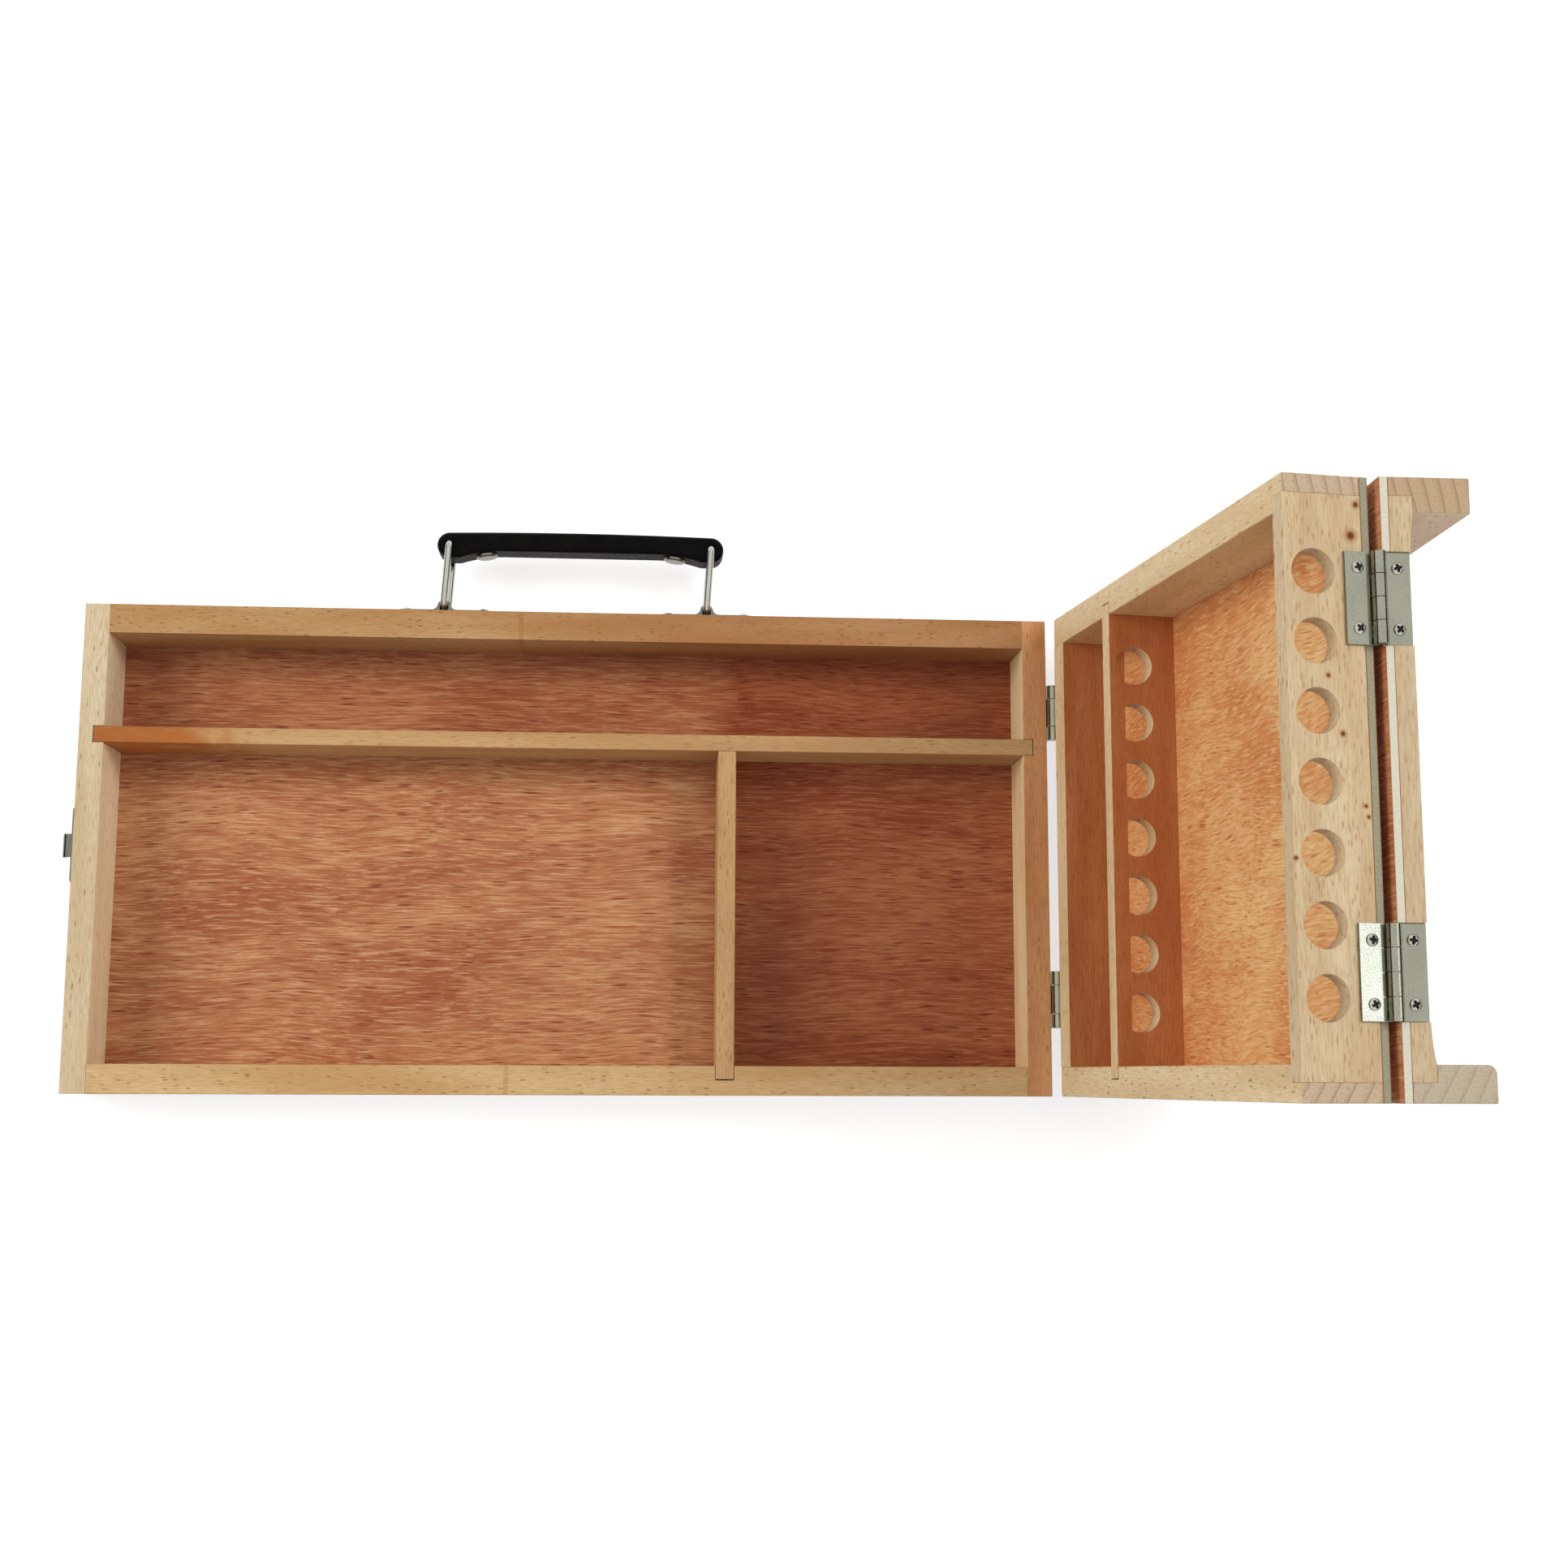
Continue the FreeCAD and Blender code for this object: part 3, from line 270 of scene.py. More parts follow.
@dataclass(frozen=True)
class Beech:
    """Planed steamed beech: pale and close-grained, with short dark ray flecks along the fibres.

    The eye sees a soft satin tan whose tone drifts in long bands, and flecks a few millimetres long.
    """

    pale: str = "#DFC9A5"
    deep: str = "#CFB38B"
    fleck: str = "#9C7048"
    fibre: str = "#BA9362"
    band_mm: Pair = (95.0, 13.0)
    fibre_mm: Pair = (5.5, 0.5)
    fleck_mm: Pair = (6.0, 1.5)
    fleck_share: float = 0.75
    knots: tuple[Knot, ...] = ()
    joint_mm: Union[float, None] = None
    glue: str = "#93471F"
    glue_mm: float = 1.0
    glue_share: float = 0.25
    rough: Pair = (0.62, 0.46)
    relief_mm: float = 0.06
    tints: tuple[Tint, ...] = ()

    def material(self, name: str, grain: Grain) -> Material:
        """Make the finish for one board.

        Args:
            name: Name of the material.
            grain: How the figure lies in the board.

        Returns:
            The material.
        """
        material, tree, shader, place = new_material(name)
        bands = add(tree, "Mapping", grain.laid(place, *self.band_mm), **LAID)[0]
        band = add(tree, "TexNoise", {"Vector": bands, "Scale": 1.0, "Detail": 3.0})[0]
        tone = add(tree, "MapRange", {"Value": band, "From Min": 0.36, "From Max": 0.64})[0]
        colour = add(tree, "Mix", {0: tone, 6: linear(self.pale), 7: linear(self.deep)}, **RGBA)[2]
        for tint in self.tints:
            colour = tint.over(tree, place, colour)
        threads = add(tree, "Mapping", grain.laid(place, *self.fibre_mm), **LAID)[0]
        thread = add(tree, "TexNoise", {"Vector": threads, "Scale": 1.0, "Detail": 4.0})[0]
        ramp = {"Value": thread, "From Min": 0.44, "From Max": 0.68, "To Max": 0.55}
        strand = add(tree, "MapRange", ramp)[0]
        colour = add(tree, "Mix", {0: strand, 6: colour, 7: linear(self.fibre)}, **RGBA)[2]
        rays = add(tree, "Mapping", grain.laid(place, *self.fleck_mm), **LAID)[0]
        ray = add(tree, "TexVoronoi", {"Vector": rays, "Scale": 1.0})
        dash = add(tree, "MapRange", {"Value": ray["Distance"], "From Min": 0.3, "From Max": 0.16})[0]
        chance = add(tree, "SeparateColor", {"Color": ray["Color"]})[0]
        ramp = {"Value": chance, "From Min": 1 - self.fleck_share, "From Max": 0.95, "To Max": 0.8}
        shown = add(tree, "MapRange", ramp)[0]
        flecks = add(tree, "Math", {0: dash, 1: shown}, operation="MULTIPLY")[0]
        colour = add(tree, "Mix", {0: flecks, 6: colour, 7: linear(self.fleck)}, **RGBA)[2]
        for knot in self.knots:
            colour = self.knotted(tree, place, colour, knot)
        if self.joint_mm is not None:
            colour = self.jointed(tree, place, colour)
        dull, bright = self.rough
        relief = add(tree, "Math", {0: thread, 1: flecks}, operation="SUBTRACT")[0]
        bump = {"Height": relief, "Strength": 0.35, "Distance": self.relief_mm * MM}
        looks = {
            "Base Color": colour,
            "Roughness": add(tree, "MapRange", {"Value": thread, "To Min": dull, "To Max": bright})[0],
            "Normal": add(tree, "Bump", bump)[0],
            "Specular IOR Level": 0.3,
        }
        feed(tree, shader, looks)
        return material

    def knotted(self, tree: Nodes, place: Socket, colour: Socket, knot: Knot) -> Socket:
        """Draw a pin knot over a colour.

        Args:
            tree: The material's nodes.
            place: Object coordinates.
            colour: The colour so far.
            knot: The knot.

        Returns:
            The colour with the knot.
        """
        spot = tuple(Vector(knot.spot_mm) * MM)
        away = add(tree, "VectorMath", {0: place, 1: spot}, operation="DISTANCE")["Value"]
        for reach, shade, most in ((knot.spread, knot.halo, 0.7), (1.0, knot.core, 0.95)):
            radius = knot.radius_mm * reach * MM
            ramp = {"Value": away, "From Min": radius, "From Max": 0.45 * radius, "To Max": most}
            amount = add(tree, "MapRange", ramp)[0]
            colour = add(tree, "Mix", {0: amount, 6: colour, 7: linear(shade)}, **RGBA)[2]
        return colour

    def jointed(self, tree: Nodes, place: Socket, colour: Socket) -> Socket:
        """Draw the glue line where two lengths of the board are joined end to end.

        Args:
            tree: The material's nodes.
            place: Object coordinates.
            colour: The colour so far.

        Returns:
            The colour with the joint.
        """
        along = add(tree, "SeparateXYZ", {0: place})[0]
        limits = {0: along, 1: self.joint_mm * MM, 2: self.glue_mm * MM}
        line = add(tree, "Math", limits, operation="COMPARE")[0]
        faint = add(tree, "Math", {0: line, 1: self.glue_share}, operation="MULTIPLY")[0]
        return add(tree, "Mix", {0: faint, 6: colour, 7: linear(self.glue)}, **RGBA)[2]


@dataclass(frozen=True)
class BeechEnd:
    """Sawn end of a beech board: greyish pink, with growth rings as slanting lines and fine pores."""

    pale: str = "#CDB194"
    deep: str = "#B08E73"
    pore: str = "#9A7A62"
    ring_mm: float = 4.8
    pore_mm: float = 0.7
    pith_mm: Triple = (0.0, 46.0, -52.0)
    rough: float = 0.7
    relief_mm: float = 0.08

    def material(self, name: str, grain: Grain) -> Material:
        """Make the finish for the ends of one board.

        Args:
            name: Name of the material.
            grain: How the figure lies in the board.

        Returns:
            The material.
        """
        material, tree, shader, place = new_material(name)
        inputs = grain.laid(place, self.ring_mm, self.ring_mm)
        inputs["Location"] = tuple(grain.tray.turn @ (Vector(self.pith_mm) * MM))
        rings = add(tree, "Mapping", inputs, **LAID)[0]
        # A wave's own period is a twentieth of a turn, so this scale gives one ring to each ring_mm.
        wave = {
            "Vector": rings,
            "Scale": math.tau / 20,
            "Distortion": 2.4,
            "Detail": 2.0,
            "Detail Scale": 0.5,
        }
        axis = "X" if grain.way is Way.LENGTH else "Y"
        look = {"wave_type": "RINGS", "rings_direction": axis, "wave_profile": "SAW"}
        ring = add(tree, "TexWave", wave, **look)["Fac"]
        edge = add(tree, "Math", {0: ring, 1: 6.0}, operation="POWER")[0]
        colour = add(tree, "Mix", {0: edge, 6: linear(self.pale), 7: linear(self.deep)}, **RGBA)[2]
        specks = {"Vector": place, "Scale": 1 / (self.pore_mm * MM), "Detail": 2.0}
        speck = add(tree, "TexNoise", specks)[0]
        ramp = {"Value": speck, "From Min": 0.5, "From Max": 0.75, "To Max": 0.6}
        pores = add(tree, "MapRange", ramp)[0]
        colour = add(tree, "Mix", {0: pores, 6: colour, 7: linear(self.pore)}, **RGBA)[2]
        bump = {"Height": speck, "Strength": 0.4, "Distance": self.relief_mm * MM}
        looks = {
            "Base Color": colour,
            "Roughness": self.rough,
            "Normal": add(tree, "Bump", bump)[0],
            "Specular IOR Level": 0.25,
        }
        feed(tree, shader, looks)
        return material


@dataclass(frozen=True)
class Veneer:
    """Red meranti face of thin plywood: rotary cut and sanded, with broken dark pores along the fibres.

    The eye sees a warm red-brown with pale and dark streaks, dull where the pores are open.
    """

    pale: str = "#CB9468"
    deep: str = "#9E5E3C"
    pore: str = "#7E3B22"
    glint: str = "#DDB084"
    band_mm: Pair = (95.0, 24.0)
    streak_mm: Pair = (15.0, 0.8)
    pore_mm: Pair = (13.0, 1.1)
    wander_mm: Pair = (70.0, 8.0)
    rough: Pair = (0.7, 0.5)
    relief_mm: float = 0.08
    tints: tuple[Tint, ...] = ()

    def material(self, name: str, grain: Grain) -> Material:
        """Make the finish for one panel.

        Args:
            name: Name of the material.
            grain: How the figure lies in the panel.

        Returns:
            The material.
        """
        material, tree, shader, place = new_material(name)
        length, reach = self.wander_mm
        drift = {"Vector": place, "Scale": 1 / (length * MM), "Detail": 1.0}
        sway = add(tree, "TexNoise", drift)["Color"]
        # The fibres interlock and wander, so the figure is read from a place that sways with them.
        swayed = {0: sway, 1: (reach * MM,) * 3, 2: place}
        figure = add(tree, "VectorMath", swayed, operation="MULTIPLY_ADD")[0]
        bands = add(tree, "Mapping", grain.laid(figure, *self.band_mm), **LAID)[0]
        noise = {"Vector": bands, "Scale": 1.0, "Detail": 4.0, "Roughness": 0.6, "Distortion": 0.4}
        band = add(tree, "TexNoise", noise)[0]
        tone = add(tree, "MapRange", {"Value": band, "From Min": 0.34, "From Max": 0.66})[0]
        colour = add(tree, "Mix", {0: tone, 6: linear(self.deep), 7: linear(self.pale)}, **RGBA)[2]
        streaks = add(tree, "Mapping", grain.laid(figure, *self.streak_mm), **LAID)[0]
        noise = {"Vector": streaks, "Scale": 1.0, "Detail": 6.0, "Roughness": 0.7}
        streak = add(tree, "TexNoise", noise)[0]
        ramp = {"Value": streak, "From Min": 0.5, "From Max": 0.66, "To Max": 0.85}
        glint = add(tree, "MapRange", ramp)[0]
        colour = add(tree, "Mix", {0: glint, 6: colour, 7: linear(self.glint)}, **RGBA)[2]
        ramp = {"Value": streak, "From Min": 0.5, "From Max": 0.36, "To Max": 0.85}
        shade = add(tree, "MapRange", ramp)[0]
        colour = add(tree, "Mix", {0: shade, 6: colour, 7: linear(self.deep)}, **RGBA)[2]
        cells = add(tree, "Mapping", grain.laid(figure, *self.pore_mm), **LAID)[0]
        cell = add(tree, "TexVoronoi", {"Vector": cells, "Scale": 1.0})
        dash = add(tree, "MapRange", {"Value": cell["Distance"], "From Min": 0.34, "From Max": 0.2})[0]
        chance = add(tree, "SeparateColor", {"Color": cell["Color"]})[0]
        ramp = {"Value": chance, "From Min": 0.35, "From Max": 1.0, "To Max": 0.9}
        shown = add(tree, "MapRange", ramp)[0]
        pores = add(tree, "Math", {0: dash, 1: shown}, operation="MULTIPLY")[0]
        colour = add(tree, "Mix", {0: pores, 6: colour, 7: linear(self.pore)}, **RGBA)[2]
        for tint in self.tints:
            colour = tint.over(tree, place, colour)
        dull, bright = self.rough
        relief = add(tree, "Math", {0: streak, 1: pores}, operation="SUBTRACT")[0]
        bump = {"Height": relief, "Strength": 0.4, "Distance": self.relief_mm * MM}
        looks = {
            "Base Color": colour,
            "Roughness": add(tree, "MapRange", {"Value": streak, "To Min": dull, "To Max": bright})[0],
            "Normal": add(tree, "Bump", bump)[0],
            "Specular IOR Level": 0.3,
        }
        feed(tree, shader, looks)
        return material


@dataclass(frozen=True)
class PlyEdge:
    """Sawn edge of three-ply: a pale greenish core between two thin red-brown face veneers."""

    core: str = "#DAD9C8"
    core_deep: str = "#C6C4AE"
    face: str = "#A5653C"
    face_mm: float = 0.4
    fibre_mm: Pair = (14.0, 0.5)
    blur_mm: float = 0.08
    rough: float = 0.72
    relief_mm: float = 0.08

    def material(self, name: str, grain: Grain, centre: Vector, thickness: float) -> Material:
        """Make the finish for the edges of one panel.

        Args:
            name: Name of the material.
            grain: How the figure lies in the panel.
            centre: Middle of the panel in the row frame.
            thickness: Thickness of the panel.

        Returns:
            The material.
        """
        material, tree, shader, place = new_material(name)
        inputs = grain.laid(place, 1000.0, 1000.0)
        inputs["Location"] = tuple(centre)
        local = add(tree, "Mapping", inputs, **LAID)[0]
        height = add(tree, "SeparateXYZ", {0: local})[2]
        off = add(tree, "Math", {0: height}, operation="ABSOLUTE")[0]
        glue = thickness / 2 - self.face_mm * MM
        blur = self.blur_mm * MM
        layer = add(tree, "MapRange", {"Value": off, "From Min": glue - blur, "From Max": glue + blur})[0]
        laid = grain.laid(place, *self.fibre_mm)
        fibres = add(tree, "Mapping", laid, **LAID)[0]
        fibre = add(tree, "TexNoise", {"Vector": fibres, "Scale": 1.0, "Detail": 4.0})[0]
        tone = add(tree, "MapRange", {"Value": fibre, "From Min": 0.35, "From Max": 0.7})[0]
        colour = add(tree, "Mix", {0: tone, 6: linear(self.core), 7: linear(self.core_deep)}, **RGBA)[2]
        colour = add(tree, "Mix", {0: layer, 6: colour, 7: linear(self.face)}, **RGBA)[2]
        bump = {"Height": fibre, "Strength": 0.4, "Distance": self.relief_mm * MM}
        looks = {
            "Base Color": colour,
            "Roughness": self.rough,
            "Normal": add(tree, "Bump", bump)[0],
            "Specular IOR Level": 0.25,
        }
        feed(tree, shader, looks)
        return material


@dataclass(frozen=True)
class Plate:
    """Nickel-plated pressed steel: grey metal, mirror-like but softened by the sheet's fine texture."""

    pale: str = "#AEAF9B"
    deep: str = "#979886"
    speck: str = "#55564C"
    grit_mm: float = 0.45
    smooth: float = 0.13
    dull: float = 0.2
    dent: float = 0.04
    dent_mm: float = 0.02
    cloud_mm: float = 12.6

    def material(self, name: str) -> Material:
        """Make the finish.

        Args:
            name: Name of the material.

        Returns:
            The material.
        """
        material, tree, shader, place = new_material(name)
        noise = {"Vector": place, "Scale": 1 / (self.grit_mm * MM), "Detail": 3.0}
        grit = add(tree, "TexNoise", noise)[0]
        cloud = {"Vector": place, "Scale": 1 / (self.cloud_mm * MM), "Detail": 2.0}
        tone = add(tree, "TexNoise", cloud)[0]
        colour = add(tree, "Mix", {0: tone, 6: linear(self.pale), 7: linear(self.deep)}, **RGBA)[2]
        ramp = {"Value": grit, "From Min": 0.52, "From Max": 0.75, "To Max": 0.45}
        specks = add(tree, "MapRange", ramp)[0]
        colour = add(tree, "Mix", {0: specks, 6: colour, 7: linear(self.speck)}, **RGBA)[2]
        ramp = {"Value": grit, "From Min": 0.3, "From Max": 0.7, "To Min": self.smooth, "To Max": self.dull}
        bump = {"Height": grit, "Strength": self.dent, "Distance": self.dent_mm * MM}
        looks = {
            "Base Color": colour,
            "Roughness": add(tree, "MapRange", ramp)[0],
            "Normal": add(tree, "Bump", bump)[0],
            "Metallic": 1.0,
        }
        feed(tree, shader, looks)
        return material


WIRE = Plate(pale="#CFCDC4", deep="#B4B2A8", speck="#8F8D84", smooth=0.08, dull=0.15)
SCREW_HEAD = Plate(pale="#D2D0C8", deep="#B9B7AD", speck="#8F8D84", smooth=0.12, dull=0.22)
# Painted shade: dark plating for the faces of a screw's cross recess, which stand in shade.
RECESS_SHADE = Plate(pale="#3B3A34", deep="#25241F", speck="#1C1B17", smooth=0.5, dull=0.7)


@dataclass(frozen=True)
class Leather:
    """Black coated split leather: embossed with a fine pebble, satin, greyer where it is rubbed."""

    pale: str = "#0B0B0A"
    deep: str = "#040404"
    pebble_mm: float = 0.9
    crease_mm: float = 6.0
    pebble_relief_mm: float = 0.12
    crease_relief_mm: float = 0.4

    def material(self, name: str) -> Material:
        """Make the finish.

        Args:
            name: Name of the material.

        Returns:
            The material.
        """
        material, tree, shader, place = new_material(name)
        cells = {"Vector": place, "Scale": 1 / (self.pebble_mm * MM)}
        pebble = add(tree, "TexVoronoi", cells, feature="SMOOTH_F1")["Distance"]
        folds = {"Vector": place, "Scale": 1 / (self.crease_mm * MM), "Detail": 4.0}
        crease = add(tree, "TexNoise", folds)[0]
        rub = add(tree, "MapRange", {"Value": crease, "From Min": 0.35, "From Max": 0.7})[0]
        colour = add(tree, "Mix", {0: rub, 6: linear(self.deep), 7: linear(self.pale)}, **RGBA)[2]
        ramp = {"Value": pebble, "From Max": 0.6, "To Min": 0.34, "To Max": 0.52}
        bump = {"Height": pebble, "Strength": 0.5, "Distance": self.pebble_relief_mm * MM}
        pebbled = add(tree, "Bump", bump, invert=True)[0]
        fold = self.crease_relief_mm * MM
        bump = {"Height": crease, "Strength": 0.35, "Distance": fold, "Normal": pebbled}
        looks = {
            "Base Color": colour,
            "Roughness": add(tree, "MapRange", ramp)[0],
            "Normal": add(tree, "Bump", bump)[0],
            "Specular IOR Level": 0.06,
        }
        feed(tree, shader, looks)
        return material


def merged(node: str) -> Mesh:
    """Copy a node's mesh, with its loose triangles joined and its flat faces made whole.

    Args:
        node: Name of the node.

    Returns:
        The copy.
    """
    work = bmesh.new()
    work.from_mesh(frame["nodes"][node].data)
    bmesh.ops.remove_doubles(work, verts=work.verts, dist=WELD_MM * MM)
    flat = math.radians(FLAT_DEGREES)
    bmesh.ops.dissolve_limit(work, angle_limit=flat, verts=work.verts, edges=work.edges)
    return work


def soften(work: Mesh, width: float) -> None:
    """Round the sharp edges of a mesh.

    Args:
        work: The mesh.
        width: Width taken off each side of an edge.
    """
    limit = math.radians(SHARP_DEGREES)
    edges = [edge for edge in work.edges if edge.is_manifold and edge.calc_face_angle() > limit]
    bmesh.ops.bevel(
        work,
        geom=edges,
        offset=width,
        offset_type="OFFSET",
        segments=EDGE_SEGMENTS,
        profile=0.5,
        affect="EDGES",
        clamp_overlap=True,
        material=-1,
    )


def piece(name: str, work: Mesh, materials: list[Material], body: str, node: str) -> Piece:
    """Make a mesh into a piece of the box.

    Args:
        name: Name of the piece.
        work: Its mesh, in the row frame; it is freed.
        materials: Its materials, in the order of its faces' material places.
        body: The body that it rides on.
        node: The node that it stands for.

    Returns:
        The piece.
    """
    mesh = bpy.data.meshes.new(name)
    work.to_mesh(mesh)
    work.free()
    for material in materials:
        mesh.materials.append(material)
    mesh.shade_smooth()
    mesh.set_sharp_from_angle(angle=math.radians(CREASE_DEGREES))
    made = bpy.data.objects.new(name, mesh)
    bpy.context.scene.collection.objects.link(made)
    weighted = made.modifiers.new("even_shading", "WEIGHTED_NORMAL")
    weighted.keep_sharp = True
    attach(made, body)
    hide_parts(node)
    return made


@dataclass
class Board:
    """A planed beech board with its long edges eased and its ends showing end grain."""

    node: str
    way: Way
    finish: Beech = field(default_factory=Beech)
    end: BeechEnd = field(default_factory=BeechEnd)
    cut_mm: Triple = (0.0, 0.0, 0.0)
    # Painted lighting: a second finish for the face turned to inner_side. It is paler where that face
    # stands lit and darker where it stands in shade.
    painted_lighting: Union[Beech, None] = None
    inner_side: Triple = (-1.0, 0.0, 0.0)
    ease_mm: float = 0.45

    def build(self, tray: Tray) -> Piece:
        """Make the board.

        Args:
            tray: The tray that it belongs to.

        Returns:
            The piece.
        """
        grain = Grain(self.way, tray, self.cut_mm)
        inward = tray.turn @ Vector(self.inner_side)
        finishes = [
            self.finish.material(f"planed_beech_{self.node}", grain),
            self.end.material(f"sawn_beech_end_{self.node}", grain),
        ]
        if self.painted_lighting is not None:
            finishes.append(self.painted_lighting.material(f"painted_lighting_beech_{self.node}", grain))
        work = merged(self.node)
        for face in work.faces:
            if abs(face.normal.dot(grain.fibres)) > ALIGNED:
                face.material_index = 1
            elif self.painted_lighting is not None and face.normal.dot(inward) > ALIGNED:
                face.material_index = 2
        soften(work, self.ease_mm * MM)
        return piece(f"{self.node}_board", work, finishes, tray.body, self.node)


@dataclass
class Panel:
    """A thin plywood panel, veneered on both faces, with its layers showing along the edges."""

    node: str
    finish: Veneer = field(default_factory=Veneer)
    edge: PlyEdge = field(default_factory=PlyEdge)
    cut_mm: Triple = (0.0, 0.0, 0.0)
    thickness_mm: float = 3.0
    ease_mm: float = 0.25

    def build(self, tray: Tray) -> Piece:
        """Make the panel.

        Args:
            tray: The tray that it belongs to.

        Returns:
            The piece.
        """
        grain = Grain(Way.LENGTH, tray, self.cut_mm)
        flat = tray.turn @ Vector((0, 0, 1))
        work = merged(self.node)
        for face in work.faces:
            face.material_index = int(abs(face.normal.dot(flat)) < 0.5)
        soften(work, self.ease_mm * MM)
        low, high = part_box(self.node)
        faces = self.finish.material(f"meranti_plywood_{self.node}", grain)
        thickness = self.thickness_mm * MM
        edges = self.edge.material(f"plywood_edge_{self.node}", grain, (low + high) / 2, thickness)
        return piece(f"{self.node}_ply", work, [faces, edges], tray.body, self.node)


@dataclass
class MainTray:
    """The long tray that lies on the table: base, four walls and two dividers."""

    base: Veneer = Veneer(
        pale="#C0885C", deep="#9B5636", pore="#6C2A14", glint="#D4A77A",
        # Both tints are painted shade: the small right compartment, which the standing lid shades, and the
        # narrow far compartment are drawn darker.
        tints=(Tint(0, 55.0, 72.0, "#DFC0B8"), Tint(1, 42.0, 49.0, "#E6D7D3")),
    )
    left: Beech = Beech(pale="#D4C2A1", deep="#C4AD88", fibre="#B18F60", fleck_share=0.45)
    # Painted light: a paler copy of the left end's finish for its inner face, which the light from the
    # right falls on.
    left_inner_painted_light: Beech = Beech(pale="#F6E8C6", deep="#ECD8B0", fibre="#D8B98C", fleck_share=0.45)
    right: Beech = Beech(pale="#D49E6B", deep="#BF8352", fibre="#A96E45")
    # Painted light: a paler copy of the right end's finish for its inner face, which the light from the
    # left falls on.
    right_inner_painted_light: Beech = Beech(pale="#F4DDAF", deep="#E8C894", fibre="#D2A871")
    far: Beech = Beech(
        pale="#C19C6E", deep="#B08353", fibre="#9C6F3F", fleck="#774C29", fleck_mm=(4.2, 1.1),
        # The tint is painted shade: it darkens the wall towards its right end, where the lid's shadow
        # falls.
        fleck_share=1.0, joint_mm=-21.5, tints=(Tint(0, -45.0, 45.0, "#E9D7CE"),),
    )
    near: Beech = Beech(
        pale="#D3B384", deep="#C09865", fibre="#AC8150", fleck="#8C6136", fleck_mm=(4.6, 1.2),
        joint_mm=-23.5,
    )
    divider: Beech = Beech(
        pale="#C6A070", deep="#B58C5D", fibre="#A37646", tints=(Tint(0, -84.0, -116.0, "#DFA36C", 90.0),)
    )
    cross: Beech = Beech(pale="#C6A070", deep="#B58C5D", fibre="#A37646")

    def build(self) -> list[Piece]:
        """Make the tray's boards and base.

        Returns:
            The pieces.
        """
        parts = [
            Panel("main_base_panel", self.base),
            Board(
                "main_latch_end", Way.WIDTH, self.left, cut_mm=(31, 0, 7),
                painted_lighting=self.left_inner_painted_light, inner_side=(1.0, 0.0, 0.0),
            ),
            Board("main_hinge_end", Way.WIDTH, self.right, cut_mm=(-40, 60, 18), painted_lighting=self.right_inner_painted_light),
            Board("main_handle_side", Way.LENGTH, self.far, cut_mm=(0, 13, 29)),
            Board("main_near_side", Way.LENGTH, self.near, cut_mm=(90, -22, 41)),
            Board("long_divider", Way.LENGTH, self.divider, cut_mm=(55, 35, -17)),
            Board("cross_divider", Way.WIDTH, self.cross, cut_mm=(12, 44, 63)),
        ]
        return [part.build(Tray.MAIN) for part in parts]


@dataclass
class BrushTray:
    """The lid tray that holds brushes: back panel, four walls and the holed divider."""

    wall: Beech = Beech(pale="#E8D1A7", deep="#D8BB8D", fibre="#C29A65")
    end_wall: Beech = Beech(
        pale="#D9C49F", deep="#C9AE87", fibre="#B78F61", fleck="#9E5F37", fleck_share=0.95,
        knots=(
            Knot((256.36, 80.2, 243.45), 1.7),
            Knot((258.48, 90.56, 243.15), 1.1),
            Knot((251.21, 15.45, 244.17), 1.0),
            Knot((233.84, -24.45, 246.61), 0.8),
            Knot((258.07, -7.44, 243.21), 0.7),
            Knot((258.86, -10.87, 243.1), 0.7),
            Knot((246.91, 34.07, 244.78), 0.8),
        ),
    )
    # Painted shade: a darker, redder copy of the wall finish for the faces deep inside the brush tray. It
    # stands in for their shade and for the orange light that the back panel throws on them.
    inside_painted_shade: Beech = Beech(pale="#C48050", deep="#B46B3D", fibre="#9C5932", fleck="#793D1E")
    end: BeechEnd = BeechEnd(pale="#C8B193", deep="#A5866B")
    back: Veneer = Veneer(
        pale="#EAC083", deep="#D0874F", pore="#B0623A", glint="#F0D09A",
        band_mm=(60.0, 36.0), streak_mm=(9.0, 0.8), wander_mm=(48.0, 11.0),
        tints=(Tint(2, 200.0, 90.0, "#FDEAE0"),),
    )
    back_edge: PlyEdge = PlyEdge(core="#A5A188", core_deep="#8B8871", face="#8C6A4A")

    def build(self) -> list[Piece]:
        """Make the tray's boards and back.

        Returns:
            The pieces.
        """
        parts = [
            Panel("brush_back_panel", self.back, self.back_edge, cut_mm=(70, 30, 5)),
            Board("brush_hinge_end", Way.WIDTH, self.wall, cut_mm=(14, 80, 3), painted_lighting=self.inside_painted_shade),
            Board("brush_divider", Way.WIDTH, self.wall, cut_mm=(-25, -18, 57), painted_lighting=self.inside_painted_shade),
            Board("brush_end_wall", Way.WIDTH, self.end_wall, cut_mm=(48, 26, 33)),
            Board("brush_handle_side", Way.LENGTH, self.wall, self.end, cut_mm=(20, 71, -30)),
            Board("brush_near_side", Way.LENGTH, self.wall, self.end, cut_mm=(-60, 9, 15)),
        ]
        return [part.build(Tray.BRUSH) for part in parts]


